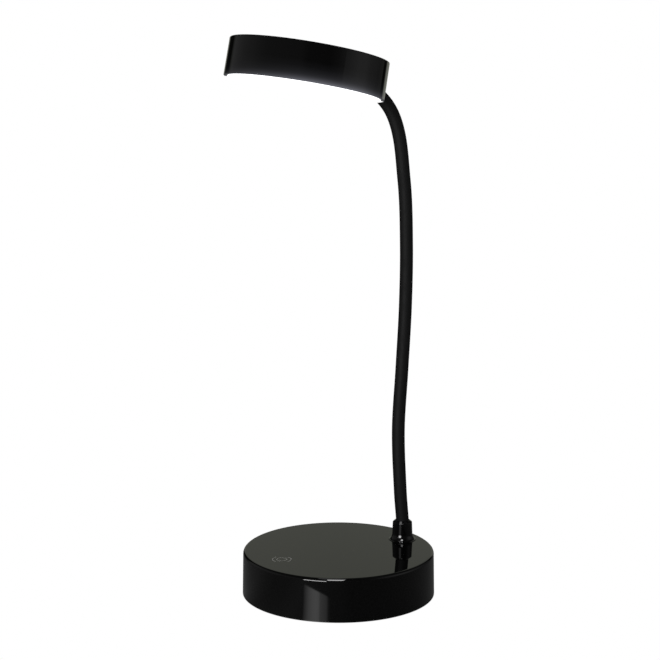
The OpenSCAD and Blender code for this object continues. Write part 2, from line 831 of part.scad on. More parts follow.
module head_shell() {
    color("#1c1c1a") at_head() difference() {
        union() {
            difference() {
                drafted_disc(head_r, head_top_r, 0, head_h, head_edge_r, 0.2);
                translate([0, 0, -cut]) cylinder(h = diffuser_top + cut, r = rim_in_r);
                cylinder(h = head_ceiling, r = head_in_r);
            }
            entry_boss();
            at_led_screws() translate([0, 0, led_board_h])
                cylinder(h = head_ceiling - led_board_h + cut, r = led_post_r, $fn = 48);
        }
        translate([0, entry_r, entry_h]) rotate([entry_lean + head_tilt, 0, 0]) {
            translate([0, 0, -boss_r])
                cylinder(h = boss_r + head_socket_end, r = sleeve_r + bore_gap);
            cylinder(h = boss_end + cut, r = head_stud_d / 2 + hole_gap);
        }
        at_led_screws() translate([0, 0, led_board_h - cut])
            cylinder(h = led_screw_l + cut, r = led_screw_d / 2 + hole_gap, $fn = 32);
    }
}

module diffuser() {
    edge = 0.3;
    r = rim_in_r - diffuser_gap;
    color("white") at_head() rotate_extrude()
        polygon([[0, diffuser_inset], [r - edge, diffuser_inset], [r, diffuser_inset + edge],
                 [r, diffuser_top], [0, diffuser_top]]);
}

module led_board() {
    color("#e8e8e2") at_head() difference() {
        translate([0, 0, led_board_z]) cylinder(h = led_board_t, r = led_board_r);
        at_led_screws() translate([0, 0, led_board_z - cut])
            cylinder(h = led_board_t + 2 * cut, r = led_screw_d / 2 + hole_gap, $fn = 32);
    }
}

module leds() {
    module led_ring(n, d) {
        for (i = [0:n - 1]) rotate((i + 0.5) * 360 / n)
            translate([d / 2 - led_size[0] / 2, -led_size[1] / 2, led_board_z - led_size[2]])
                cube(led_size);
    }
    color("khaki") at_head() {
        led_ring(led_outer_n, led_outer_d);
        led_ring(led_inner_n, led_inner_d);
    }
}

module led_board_screws() {
    color("silver") at_head() at_led_screws() translate([0, 0, led_board_z])
        screw(led_screw_d, led_board_t + led_screw_l - 1, 2.1 * led_screw_d, led_screw_head_h);
}

// ---------- nodes ----------

base_shell();
bottom_cover();
foot_pad();
cover_screws();
ballast_plate();
battery_cradle();
battery_cell();
battery_tabs();
battery_leads();
control_board();
board_screws();
control_chip();
power_inductor();
lead_sockets();
usb_receptacle();
usb_tongue();
touch_electrode();
touch_board();
touch_chip();
touch_lead();
touch_mark();
neck_ferrule();
foot_stud();
foot_washer();
foot_nut();
for (k = [0:LINKS]) {
    neck_sleeve(k);
    neck_coil(k);
    neck_lead(k);
}
head_stud();
head_washer();
head_nut();
head_shell();
diffuser();
led_board();
leds();
led_board_screws();
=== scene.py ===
"""Case, ferrule, neck, finishes and studio of a cordless gooseneck desk lamp, round its CAD frame.

Lengths are in metres and angles in radians, unless a name or comment says otherwise. +Z is up, the
touch key faces -Y and the neck stands at +Y. A lean is the neck's forward tilt from the upright,
towards -Y. An azimuth is in degrees round the upright, from the camera's side.
"""

import json
import math
from collections import namedtuple

import bmesh
import bpy
from bpy.props import FloatProperty, FloatVectorProperty, IntProperty, PointerProperty
from bpy.types import Operator, Panel, PropertyGroup
from mathutils import Matrix, Vector

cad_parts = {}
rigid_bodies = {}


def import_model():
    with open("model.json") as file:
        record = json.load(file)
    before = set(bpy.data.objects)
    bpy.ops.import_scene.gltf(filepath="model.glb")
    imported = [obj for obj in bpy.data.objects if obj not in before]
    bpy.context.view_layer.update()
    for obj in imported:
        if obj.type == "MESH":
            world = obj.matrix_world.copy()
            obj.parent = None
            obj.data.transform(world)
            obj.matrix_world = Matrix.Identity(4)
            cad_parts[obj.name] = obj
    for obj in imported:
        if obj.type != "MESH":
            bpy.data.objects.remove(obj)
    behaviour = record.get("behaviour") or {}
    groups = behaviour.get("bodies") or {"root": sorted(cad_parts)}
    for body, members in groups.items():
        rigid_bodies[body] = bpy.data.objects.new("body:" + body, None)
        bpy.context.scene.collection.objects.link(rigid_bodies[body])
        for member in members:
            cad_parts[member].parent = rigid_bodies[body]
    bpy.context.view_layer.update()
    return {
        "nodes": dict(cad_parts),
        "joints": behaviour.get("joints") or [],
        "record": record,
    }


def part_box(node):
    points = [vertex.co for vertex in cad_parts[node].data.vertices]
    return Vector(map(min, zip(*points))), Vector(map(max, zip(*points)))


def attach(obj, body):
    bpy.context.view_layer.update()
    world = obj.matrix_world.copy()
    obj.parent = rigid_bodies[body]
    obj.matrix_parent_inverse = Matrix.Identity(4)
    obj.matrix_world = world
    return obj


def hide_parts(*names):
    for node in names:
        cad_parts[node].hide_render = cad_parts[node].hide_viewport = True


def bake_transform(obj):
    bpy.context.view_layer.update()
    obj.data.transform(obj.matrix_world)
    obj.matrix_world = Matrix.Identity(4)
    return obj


bl_info = {
    "name": "Gooseneck Desk Lamp",
    "version": (1, 0, 0),
    "blender": (4, 5, 0),
    "location": "View3D > Sidebar > Desk Lamp",
    "description": "Adds the case, neck, finishes and studio of a cordless gooseneck desk lamp",
    "category": "Object",
}

for spare in list(bpy.data.objects):
    bpy.data.objects.remove(spare)
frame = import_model()
for imported in list(bpy.data.materials):
    bpy.data.materials.remove(imported)
NODES = frame["nodes"]
JOINTS = frame["joints"]
MM = 0.001


# ---------- places taken from the frame ----------


def middle(node):
    """Returns the centre of a CAD node's box."""
    low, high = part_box(node)
    return (low + high) / 2


def leaning(lean):
    """Returns the unit vector that leans forward from the upright by lean."""
    return Vector((0, -math.sin(lean), math.cos(lean)))


NECK_FOOT = Vector((0, middle("neck_ferrule").y, 0))
FERRULE_TOP = Vector((0, NECK_FOOT.y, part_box("neck_ferrule")[1].z))
PIVOTS = [Vector(joint["pos_m"]) for joint in JOINTS]
STRETCH = (PIVOTS[1] - PIVOTS[0]).length
BASE_BODY = JOINTS[0]["parent"]
BASE_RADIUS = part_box("base_shell")[1].x
HEAD_TILT = math.radians(10.2)
# height of the LED board's upper face above the head's lit rim
LED_BOARD_TOP = 12 * MM
LED_BOARD_THICKNESS = 1.6 * MM
# carries a place that is measured from the middle of the head's rim into the lamp's frame
TO_HEAD = (Matrix.Translation(middle("led_board")) @ Matrix.Rotation(-HEAD_TILT, 4, "X")
           @ Matrix.Translation((0, 0, LED_BOARD_THICKNESS / 2 - LED_BOARD_TOP)))
CAMERA_PLACE = (0.82559, -0.42511, 0.31884)
CAMERA_AZIMUTH = math.atan2(CAMERA_PLACE[1], CAMERA_PLACE[0])


def heading(azimuth):
    """Returns the level unit vector at an azimuth."""
    turn = CAMERA_AZIMUTH + math.radians(azimuth)
    return Vector((math.cos(turn), math.sin(turn), 0))


# ---------- settings ----------


def length(name, description, default, low, high):
    """Returns a setting that is a length, from values in millimetres."""
    return FloatProperty(name=name, description=description, default=default * MM, min=low * MM,
                         max=high * MM, unit="LENGTH", precision=5)


def angle(name, description, default, low, high):
    """Returns a setting that is an angle, from values in degrees."""
    return FloatProperty(name=name, description=description, default=math.radians(default),
                         min=math.radians(low), max=math.radians(high), subtype="ANGLE")


class NeckSettings(PropertyGroup):
    """Sizes of the neck's three layers."""

    sleeve_diameter: length("Sleeve diameter", "Outer diameter of the sleeve", 8.5, 6, 12)
    sleeve_wall: length("Sleeve wall", "Thickness of the sleeve's wall", 0.75, 0.4, 1.5)
    coil_diameter: length("Coil diameter", "Outer diameter of the wound steel tube", 6.9, 5, 9)
    coil_wall: length("Coil wall", "Thickness of the wound steel tube", 1.4, 0.8, 2)
    coil_groove: length(
        "Coil groove", "Depth of the grooves between the steel windings", 0.35, 0, 0.6)
    windings: IntProperty(
        name="Windings", description="Windings of the steel tube between two bending points",
        default=20, min=4, max=40)
    lead_diameter: length(
        "Lead diameter", "Diameter of the two-core lead inside the coil", 3, 1.5, 4)
    root_lean: angle("Lean at the ferrule", "Lean where the neck leaves the ferrule", 5.1, 0, 45)
    end_lean: angle("Lean at the last bend", "Lean at the last bending point", 24.8, 0, 90)
    entry_lean: angle("Lean at the head", "Lean where the neck enters the head", 56.5, 0, 120)
    knee_radius: length(
        "Knee radius", "Radius of the neck's bend inside the ferrule's mouth", 30, 10, 60)
    rings: IntProperty(
        name="Rings per stretch", description="Rings of faces between two bending points",
        default=28, min=8, max=60)


class BaseSettings(PropertyGroup):
    """Sizes of the base's case."""

    edge: length("Top rounding", "Radius of the rounding round the base's top", 2, 0.6, 2.2)
    draft: angle("Draft", "How far the side leans inwards", 1, 0, 2)
    wall: length("Wall", "Thickness of the case's side and top", 2.4, 1.8, 2.8)
    lip: length("Lower chamfer", "Width of the chamfer round the case's lower edge", 0.3, 0, 1)
    post_radius: length("Post radius", "Radius of the four screw posts", 3.5, 2.8, 4)
    post_inset: length(
        "Post inset", "Distance from the inner wall to the middle of a post", 6.6, 5.5, 7.5)
    post_foot: length("Post foot", "Height of the posts' lower ends above the table", 3.4, 2.8, 4.2)
    screw_hole: length("Screw hole", "Radius of the hole in a post", 1.35, 1.1, 1.6)
    screw_depth: length("Screw depth", "Depth of the hole in a post", 9, 7, 14)
    stud_hole: length("Stud hole", "Radius of the hole for the neck's fitting", 5.05, 4.5, 5.3)
    slot_gap: length("Inlet gap", "Gap between the charging inlet and its slot", 0.2, 0.15, 0.3)
    ring_radius: length(
        "Key ring radius", "Outer radius of the ring in the key's mark", 3.5, 2.5, 4)
    mark_line: length("Key line", "Line width of the key's mark", 0.6, 0.4, 0.8)
    mark_span: angle("Key arc", "Angle that each arc of the key's mark spans", 105, 60, 150)
    mark_turn: angle("Key turn", "Direction of the key mark's arcs, from the right", 63, 0, 180)
    mark_radius: length("Key mark radius", "Outer radius of the arcs of the key's mark", 6.25, 5, 7)


class FerruleSettings(PropertyGroup):
    """Sizes of the ferrule round the neck's foot."""

    lip: length("Foot lip", "Height of the foot's upright edge", 0.3, 0, 1)
    flare_height: length("Flare height", "Height of the foot's hollow flare", 4.3, 1, 6)
    body_radius: length("Body radius", "Radius above the flare", 6.7, 6, 8)
    neck_radius: length(
        "Radius under the chamfer", "Radius where the top chamfer starts", 6.4, 5.5, 8)
    mouth_radius: length("Mouth radius", "Outer radius at the top of the chamfer", 4.8, 4.4, 6)
    chamfer: length("Chamfer height", "Height of the top chamfer", 1.4, 0.5, 3)
    socket_radius: length("Socket room", "Radius of the room for the fitting's socket", 5.1, 4.4, 6)
    socket_height: length(
        "Socket room height", "Height of the room for the fitting's socket", 6.1, 4, 8)
    flange_radius: length("Flange room", "Radius of the room for the fitting's flange", 6.1, 5, 7)
    flange_height: length(
        "Flange room height", "Height of the room for the fitting's flange", 2.1, 1, 3)
    edge: length("Edge rounding", "Width of the rounding of the ferrule's edges", 0.25, 0, 0.6)


class FinishSettings(PropertyGroup):
    """Colours and gloss of the pieces that show."""

    gloss_colour: FloatVectorProperty(
        name="Gloss black", description="Colour of the polished base, ferrule and head",
        default=(0.0008, 0.0008, 0.0008), size=3, min=0, max=1, subtype="COLOR")
    gloss_roughness: FloatProperty(
        name="Gloss roughness", description="Roughness of the polished pieces where they are clean",
        default=0.03, min=0, max=1)
    sleeve_colour: FloatVectorProperty(
        name="Sleeve black", description="Colour of the neck's sleeve",
        default=(0.0028, 0.0028, 0.0029), size=3, min=0, max=1, subtype="COLOR")
    sleeve_roughness: FloatProperty(
        name="Sleeve roughness", description="Roughness of the neck's sleeve",
        default=0.62, min=0, max=1)
    # strength of the glow and the white rim painted as emission on the head
    painted_rim_glow: FloatProperty(
        name="Rim glow", description="Strength of the light that spreads up the head's side",
        default=0.75, min=0, max=2)
    light_strength: FloatProperty(
        name="Light strength", description="Brightness of the lit diffuser",
        default=1.3, min=0, max=50)


class StudioSettings(PropertyGroup):
    """Camera and lights round the lamp."""

    camera_location: FloatVectorProperty(
        name="Camera location", description="Place of the camera",
        default=CAMERA_PLACE, size=3, subtype="TRANSLATION")
    camera_direction: FloatVectorProperty(
        name="Camera direction", description="Direction that the camera looks along",
        default=(-0.88093, 0.44701, -0.15539), size=3, subtype="DIRECTION")
    camera_lens: FloatProperty(
        name="Camera lens", description="Focal length of the camera on a 36 mm sensor, in mm",
        default=80.53, min=20, max=300)
    floor_radius: FloatProperty(
        name="Floor radius", description="Radius of the pale floor",
        default=4.0, min=1, max=20, unit="LENGTH")


# ---------- node trees ----------


class Recipe:
    """A node tree under construction, with short ways to add and link its nodes."""

    def __init__(self, tree):
        self.tree = tree

    def node(self, kind, **settings):
        """Adds a node of a kind. A setting is an attribute of the node."""
        made = self.tree.nodes.new(kind)
        for name, value in settings.items():
            setattr(made, name, value)
        return made

    def feed(self, node, **inputs):
        """Sets or links a node's inputs, whose names have _ for each space."""
        for name, value in inputs.items():
            self.join(node.inputs[name.replace("_", " ")], value)

    def join(self, socket, value):
        """Links value to a socket if value is an output, and otherwise sets it."""
        if isinstance(value, bpy.types.NodeSocket):
            self.tree.links.new(value, socket)
        else:
            socket.default_value = value

    def math(self, operation, first, second=0.0, third=0.0):
        """Adds a sum of one, two or three values, and returns its output."""
        made = self.node("ShaderNodeMath", operation=operation)
        for socket, value in zip(made.inputs, (first, second, third)):
            self.join(socket, value)
        return made.outputs[0]

    def measure(self, operation, first, second, result="Value"):
        """Adds a sum of two vectors, and returns its value."""
        made = self.node("ShaderNodeVectorMath", operation=operation)
        self.join(made.inputs[0], first)
        self.join(made.inputs[1], second)
        return made.outputs[result]

    def vector(self, operation, first, second):
        """Adds a sum of two vectors, and returns its vector."""
        return self.measure(operation, first, second, "Vector")

    def shares(self, vector, azimuth=0):
        """Returns how far a vector reaches along an azimuth, and across it."""
        return [self.measure("DOT_PRODUCT", vector, heading(azimuth + turn)) for turn in (0, 90)]

    def bearing(self, shares):
        """Returns the azimuth of a vector, from how far it reaches along one and across it."""
        ahead, across = shares
        return self.math("DEGREES", self.math("ARCTAN2", across, ahead))

    def scaled(self, tint, level):
        """Makes a colour lighter or darker by a level, and returns the colour."""
        made = self.node("ShaderNodeVectorMath", operation="SCALE")
        self.join(made.inputs[0], tint)
        self.join(made.inputs["Scale"], level)
        return made.outputs[0]

    def blend(self, share, first, second):
        """Mixes two colours by a share, and returns the colour."""
        made = self.node("ShaderNodeMix", data_type="RGBA")
        self.join(made.inputs[0], share)
        self.join(made.inputs[6], first)
        self.join(made.inputs[7], second)
        return made.outputs[2]

    def ramp(self, value, low, high, to_low=0.0, to_high=1.0, smooth=True):
        """Carries value from low..high to to_low..to_high, and returns the result."""
        kind = "SMOOTHSTEP" if smooth else "LINEAR"
        made = self.node("ShaderNodeMapRange", interpolation_type=kind)
        self.feed(made, Value=value, From_Min=low, From_Max=high, To_Min=to_low, To_Max=to_high)
        return made.outputs[0]

    def profile(self, value, stops):
        """Carries value through (value, level) stops, and returns the level."""
        low, high = stops[0][0], stops[-1][0]
        top = max(level for _, level in stops)
        made = self.node("ShaderNodeValToRGB")
        self.join(made.inputs[0], self.ramp(value, low, high, smooth=False))
        elements = made.color_ramp.elements
        for _ in stops[2:]:
            elements.new(0.5)
        for element, (at, level) in zip(elements, stops):
            element.position = (at - low) / (high - low)
            element.color = shade((1, 1, 1), level / top)
        return self.math("MULTIPLY", made.outputs[0], top)

    def split(self, vector):
        """Returns a vector's X, Y and Z outputs."""
        made = self.node("ShaderNodeSeparateXYZ")
        self.join(made.inputs[0], vector)
        return made.outputs

    def noise(self, vector, scale, detail=2.0, roughness=0.5):
        """Adds a noise pattern, and returns its value."""
        made = self.node("ShaderNodeTexNoise")
        self.feed(made, Vector=vector, Scale=scale, Detail=detail, Roughness=roughness)
        return made.outputs["Fac"]

    def place(self):
        """Returns the point of the surface, in the lamp's frame."""
        return self.node("ShaderNodeTexCoord").outputs["Object"]


def effect(name, inputs, outputs):
    """Starts a shader node group with named values in and named results out."""
    tree = bpy.data.node_groups.new(name, "ShaderNodeTree")
    for label, default in inputs.items():
        socket = tree.interface.new_socket(label, in_out="INPUT", socket_type="NodeSocketFloat")
        socket.default_value = default
    for label in outputs:
        tree.interface.new_socket(label, in_out="OUTPUT", socket_type="NodeSocketFloat")
    recipe = Recipe(tree)
    values = tree.nodes.new("NodeGroupInput").outputs
    results = tree.nodes.new("NodeGroupOutput").inputs
    return recipe, values, results


def grain_effect():
    """Fine moulded grain: a height and a mask of its hollows."""
    recipe, values, results = effect("Moulded Grain", {"Size": 0.4 * MM}, ["Height", "Hollows"])
    scale = recipe.math("DIVIDE", 1.0, values["Size"])
    cells = recipe.node("ShaderNodeTexVoronoi", feature="SMOOTH_F1")
    recipe.feed(cells, Vector=recipe.place(), Scale=scale, Smoothness=0.6)
    fine = recipe.noise(recipe.place(), scale, detail=3.0)
    height = recipe.math("MULTIPLY_ADD", cells.outputs["Distance"], 0.7,
                         recipe.math("MULTIPLY", fine, 0.3))
    recipe.join(results["Height"], height)
    recipe.join(results["Hollows"], recipe.ramp(height, 0.5, 0.2))


def handling_effect():
    """Where a polished or satin surface has been wiped and touched: a roughness."""
    recipe, values, results = effect(
        "Handling Marks", {"Clean": 0.03, "Hazy": 0.08, "Patch": 30 * MM}, ["Roughness"])
    scale = recipe.math("DIVIDE", 1.0, values["Patch"])
    patches = recipe.noise(recipe.place(), scale, detail=4.0, roughness=0.6)
    haze = recipe.ramp(patches, 0.46, 0.72)
    span = recipe.math("SUBTRACT", values["Hazy"], values["Clean"])
    recipe.join(results["Roughness"], recipe.math("MULTIPLY_ADD", haze, span, values["Clean"]))


def dust_effect():
    """Sparse dust specks on faces that look up: a mask."""
    recipe, values, results = effect(
        "Dust Specks", {"Size": 0.25 * MM, "Amount": 0.3}, ["Mask"])
    scale = recipe.math("DIVIDE", 0.25, values["Size"])
    specks = recipe.node("ShaderNodeTexVoronoi", feature="F1")
    recipe.feed(specks, Vector=recipe.place(), Scale=scale)
    dot = recipe.ramp(specks.outputs["Distance"], 0.12, 0.05)
    chance = recipe.node("ShaderNodeSeparateColor")
    recipe.join(chance.inputs[0], specks.outputs["Color"])
    share = recipe.math("MULTIPLY", values["Amount"], 0.1)
    rare = recipe.math("LESS_THAN", chance.outputs[0], share)
    normal = recipe.node("ShaderNodeTexCoord").outputs["Normal"]
    upward = recipe.ramp(recipe.split(normal)["Z"], 0.5, 0.9)
    speck = recipe.math("MULTIPLY", dot, rare)
    recipe.join(results["Mask"], recipe.math("MULTIPLY", speck, upward))


def drift_effect():
    """Slow drift of tone over a surface: a share from 0 to 1."""
    recipe, values, results = effect("Tone Drift", {"Patch": 12 * MM}, ["Share"])
    scale = recipe.math("DIVIDE", 1.0, values["Patch"])
    recipe.join(results["Share"], recipe.ramp(
        recipe.noise(recipe.place(), scale, detail=3.0), 0.3, 0.7))


def lathe_effect():
    """Fine rings left by a lathe or a press, round the upright through a piece: a height."""
    recipe, values, results = effect(
        "Turned Rings", {"Pitch": 0.2 * MM, "Forward": 0.0}, ["Height"])
    place = recipe.split(recipe.place())
    across = recipe.math("SUBTRACT", place["Y"], values["Forward"])
    radius = recipe.math("SQRT", recipe.math(
        "ADD", recipe.math("MULTIPLY", place["X"], place["X"]),
        recipe.math("MULTIPLY", across, across)))
    wave = recipe.math("DIVIDE", recipe.math("MULTIPLY", radius, 2 * math.pi), values["Pitch"])
    recipe.join(results["Height"], recipe.math("SINE", wave))


def place_effect(recipe, name, **values):
    """Puts a shared effect into a material, and returns its outputs."""
    made = recipe.node("ShaderNodeGroup", node_tree=bpy.data.node_groups[name])
    recipe.feed(made, **values)
    return made.outputs


def start_finish(name, plain):
    """Starts a material with plain values on its shader. Returns its recipe and its shader."""
    material = bpy.data.materials.new(name)
    material.use_nodes = True
    recipe = Recipe(material.node_tree)
    shader = material.node_tree.nodes["Principled BSDF"]
    for label, value in plain.items():
        shader.inputs[label].default_value = value
    return recipe, shader


def colour(rgb):
    """Returns a colour with full alpha."""
    return (*rgb, 1.0)


def shade(rgb, factor):
    """Returns a colour made lighter or darker by a factor."""
    return colour(channel * factor for channel in rgb)


def bump(recipe, shader, height, distance, strength=0.5):
    """Lets a height bend the shader's normal."""
    made = recipe.node("ShaderNodeBump")
    recipe.feed(made, Height=height, Distance=distance, Strength=strength)
    recipe.join(shader.inputs["Normal"], made.outputs[0])


# painted glow over the head's side, standing in for light spreading up from the lit rim:
# (millimetres above the rim, level)
PAINTED_GLOW_HEIGHTS = [(-1, 0), (-0.3, 0), (-0.1, 0.135), (0.3, 0.135), (0.9, 0.1), (1.4, 0.073),
            (2, 0.054), (2.6, 0.038), (3.2, 0.027), (3.8, 0.019), (4.8, 0.013), (6, 0.0083),
            (8.3, 0.003), (12, 0)]
# share of the painted glow by azimuth round the head
PAINTED_GLOW_SPREAD = [(-180, 0.7), (-100, 0.5), (-75, 0.08), (-50, 0.3), (-20, 0.75), (0, 1.2),
               (15, 1.3), (30, 1.25), (45, 1.1), (60, 0.6), (80, 0.4), (100, 0.6), (180, 0.7)]
# how far the rim's lower faces are painted white as if lit: by height and azimuth, and from how far
# inside the side
PAINTED_RIM_FACES = [(-0.4 * MM, 0), (-0.2 * MM, 1), (1.0 * MM, 1), (1.5 * MM, 0)]
PAINTED_RIM_SIDES = [(-180, 1), (-97, 1), (-92, 0), (92, 0), (97, 1), (180, 1)]
PAINTED_RIM_INSETS = (0.1 * MM, 0.3 * MM)
# tint of the painted glow
PAINTED_GLOW_TINT = (0.94, 0.95, 1.1)
# painted white of the rim's lower faces, brighter than white
PAINTED_RIM_WHITE = colour((1.6, 1.6, 1.6))
DUST_GREY = colour((0.12, 0.12, 0.115))


def gloss_black(name):
    """Piano black: polished, faintly wiped, with sparse dust, and with a glow and a white rim
    painted as emission along the head's rim.
    """
    looks = bpy.context.scene.lamp_finish
    recipe, shader = start_finish(name, {"IOR": 1.5, "Emission Strength": looks.painted_rim_glow})
    marks = place_effect(recipe, "Handling Marks", Clean=looks.gloss_roughness,
                         Hazy=looks.gloss_roughness * 2, Patch=34 * MM)
    dust = place_effect(recipe, "Dust Specks", Size=0.22 * MM, Amount=0.25)["Mask"]
    # the emission colour is the glow and the rim's white painted on the head
    recipe.feed(shader, Roughness=recipe.math("MULTIPLY_ADD", dust, 0.5, marks["Roughness"]),
                Base_Color=recipe.blend(dust, colour(looks.gloss_colour), DUST_GREY),
                Emission_Color=painted_rim_glow(recipe))


def painted_rim_glow(recipe):
    """Returns the emission colour painted on the head: a glow up its side that varies round the
    head, and white on its rim's lower faces.
    """
    up = TO_HEAD.to_3x3() @ Vector((0, 0, 1))
    outward = recipe.vector("SUBTRACT", recipe.place(), TO_HEAD.translation)
    height = recipe.math("SUBTRACT", recipe.measure("DOT_PRODUCT", recipe.place(), up),
                         TO_HEAD.translation.dot(up))
    azimuth = recipe.bearing(recipe.shares(outward))
    # painted glow: by height above the rim and by azimuth round the head
    painted_glow = recipe.math("MULTIPLY", recipe.profile(recipe.math("DIVIDE", height, MM), PAINTED_GLOW_HEIGHTS),
                          recipe.profile(azimuth, PAINTED_GLOW_SPREAD))
    radius = recipe.measure("LENGTH", recipe.vector("CROSS_PRODUCT", outward, up), (0, 0, 0))
    outer, inner = (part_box("head_shell")[1].x - inset for inset in PAINTED_RIM_INSETS)
    # the rim's lower faces are painted white as if lit, on the half away from the camera
    lit = recipe.math("MULTIPLY", recipe.profile(height, PAINTED_RIM_FACES),
                      recipe.ramp(radius, outer, inner))
    lit = recipe.math("MULTIPLY", lit, recipe.profile(azimuth, PAINTED_RIM_SIDES))
    return recipe.blend(lit, recipe.scaled(PAINTED_GLOW_TINT, painted_glow), PAINTED_RIM_WHITE)


def sleeve_black(name):
    """Satin black sleeve, finely grained and slightly rubbed."""
    looks = bpy.context.scene.lamp_finish
    recipe, shader = start_finish(name, {"IOR": 1.45, "Specular IOR Level": 0.22})
    marks = place_effect(recipe, "Handling Marks", Clean=looks.sleeve_roughness,
                         Hazy=looks.sleeve_roughness + 0.1, Patch=9 * MM)
    grain = place_effect(recipe, "Moulded Grain", Size=0.18 * MM)
    recipe.feed(shader, Roughness=marks["Roughness"], Base_Color=recipe.blend(
        grain["Hollows"], colour(looks.sleeve_colour), shade(looks.sleeve_colour, 0.6)))
    bump(recipe, shader, grain["Height"], 0.02 * MM)


def moulded(rgb, roughness, size, depth):
    """Returns a maker of moulded plastic with a grain of that size and depth in millimetres."""
    def make(name):
        recipe, shader = start_finish(name, {})
        grain = place_effect(recipe, "Moulded Grain", Size=size * MM)
        drift = place_effect(recipe, "Tone Drift", Patch=14 * MM)["Share"]
        marks = place_effect(recipe, "Handling Marks", Clean=roughness, Hazy=roughness + 0.08,
                             Patch=11 * MM)
        recipe.feed(shader, Roughness=marks["Roughness"], Base_Color=recipe.blend(
            drift, colour(rgb), recipe.blend(grain["Hollows"], shade(rgb, 1.15), shade(rgb, 0.7))))
        bump(recipe, shader, grain["Height"], depth * MM)
    return make


def metal(rgb, roughness, pitch, forward=0.0):
    """Returns a maker of metal with turned lines of that pitch in millimetres, round forward."""
    def make(name):
        recipe, shader = start_finish(name, {"Metallic": 1.0})
        rings = place_effect(recipe, "Turned Rings", Pitch=pitch * MM, Forward=forward)["Height"]
        drift = place_effect(recipe, "Tone Drift", Patch=3 * MM)["Share"]
        marks = place_effect(recipe, "Handling Marks", Clean=roughness, Hazy=roughness + 0.15,
                             Patch=4 * MM)
        recipe.feed(shader, Roughness=marks["Roughness"],
                    Base_Color=recipe.blend(drift, colour(rgb), shade(rgb, 0.82)))
        bump(recipe, shader, rings, 0.004 * MM, 0.3)
    return make


# share of the diffuser's radius where it starts to dim
DIM_FROM = 0.55


def lit_diffuser(name):
    """Opal diffuser, lit from behind and a little dimmer towards its rim."""
    looks = bpy.context.scene.lamp_finish
    recipe, shader = start_finish(name, {
        "Base Color": (0.92, 0.92, 0.92, 1), "Roughness": 0.35,
        "Emission Strength": looks.light_strength})
    from_middle = recipe.measure("DISTANCE", recipe.place(), TO_HEAD.translation)
    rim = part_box("diffuser")[1].x
    dim = recipe.ramp(from_middle, DIM_FROM * rim, rim)
    recipe.feed(shader, Emission_Color=recipe.blend(
        dim, colour((1.0, 1.0, 1.0)), colour((0.72, 0.73, 0.76))))
    grain = place_effect(recipe, "Moulded Grain", Size=0.25 * MM)
    bump(recipe, shader, grain["Height"], 0.01 * MM)


def circuit(name):
    """Green solder mask with the faint relief of its copper tracks."""
    recipe, shader = start_finish(name, {"Roughness": 0.32})
    tracks = recipe.node("ShaderNodeTexBrick")
    recipe.feed(tracks, Vector=recipe.place(), Scale=220.0, Mortar_Size=0.035)
    lines = tracks.outputs["Fac"]
    recipe.feed(shader, Base_Color=recipe.blend(
        lines, colour((0.012, 0.13, 0.055)), colour((0.03, 0.22, 0.1))))
    bump(recipe, shader, lines, 0.03 * MM)


FINISHES = {
    "gloss_black": gloss_black,
    "neck_sleeve": sleeve_black,
    "cover_black": moulded((0.012, 0.012, 0.012), 0.5, 0.45, 0.03),
    "pad_rubber": moulded((0.016, 0.016, 0.016), 0.85, 0.6, 0.06),
    "coil_steel": metal((0.5, 0.5, 0.51), 0.32, 0.3, NECK_FOOT.y),
    "plated_steel": metal((0.6, 0.61, 0.63), 0.25, 0.25, NECK_FOOT.y),
    "ballast_steel": metal((0.32, 0.33, 0.34), 0.45, 0.8),
    "nut_brass": metal((0.72, 0.52, 0.22), 0.25, 0.25, NECK_FOOT.y),
    "nickel": metal((0.62, 0.6, 0.56), 0.22, 0.5),
    "copper": metal((0.75, 0.36, 0.2), 0.3, 0.4),
    "cradle_plastic": moulded((0.02, 0.02, 0.02), 0.5, 0.5, 0.02),
    "cell_wrap": moulded((0.03, 0.16, 0.42), 0.3, 1.2, 0.01),
    "circuit_board": circuit,
    "chip_resin": moulded((0.015, 0.015, 0.015), 0.6, 0.15, 0.01),
    "ferrite": moulded((0.07, 0.07, 0.07), 0.7, 0.3, 0.03),
    "socket_plastic": moulded((0.75, 0.71, 0.58), 0.4, 0.3, 0.01),
    "red_wire": moulded((0.45, 0.02, 0.015), 0.35, 0.4, 0.01),
    "white_wire": moulded((0.75, 0.75, 0.72), 0.38, 0.4, 0.01),
    "mark_ink": moulded((0.24, 0.24, 0.23), 0.4, 0.2, 0.01),
    "diffuser_white": lit_diffuser,
    "led_board_white": moulded((0.82, 0.82, 0.8), 0.4, 0.6, 0.01),
    "led_phosphor": moulded((0.85, 0.72, 0.2), 0.5, 0.3, 0.02),
}


def finish(slot):
    """Returns the material of one of the record's slots, made once."""
    if slot not in bpy.data.materials:
        FINISHES[slot](slot)
    return bpy.data.materials[slot]


# ---------- meshes ----------

# an edge is shaded sharp where its faces turn by more than this
SHARP_ANGLE = math.radians(50)
# vertices closer than this are one
TOUCHING = 0.001 * MM


def add_object(name, data):
    """Adds an object of that name to the scene, and returns it."""
    made = bpy.data.objects.new(name, data)
    bpy.context.scene.collection.objects.link(made)
    return made


def add_mesh(name, bm):
    """Makes a bmesh into an object of that name, at the origin, and frees the bmesh."""
    mesh = bpy.data.meshes.new(name)
    bm.to_mesh(mesh)
    bm.free()
    return add_object(name, mesh)


def piece(name, bm, slot):
    """Makes a bmesh into a smooth piece of that name, with its slot's finish."""
    made = add_mesh(name, bm)
    made.data.shade_smooth()
    made.data.materials.append(finish(slot))
    return made


def along(points):
    """Returns a ring's place at each point of a line: a matrix that turns as little as it can."""
    upright = Vector((0, 0, 1))
    places = []
    turn = Matrix.Identity(3)
    for i, point in enumerate(points):
        ahead = points[min(i + 1, len(points) - 1)] - points[max(i - 1, 0)]
        step = (turn @ upright).rotation_difference(ahead.normalized())
        turn = step.to_matrix() @ turn
        places.append(Matrix.Translation(point) @ turn.to_4x4())
    return places


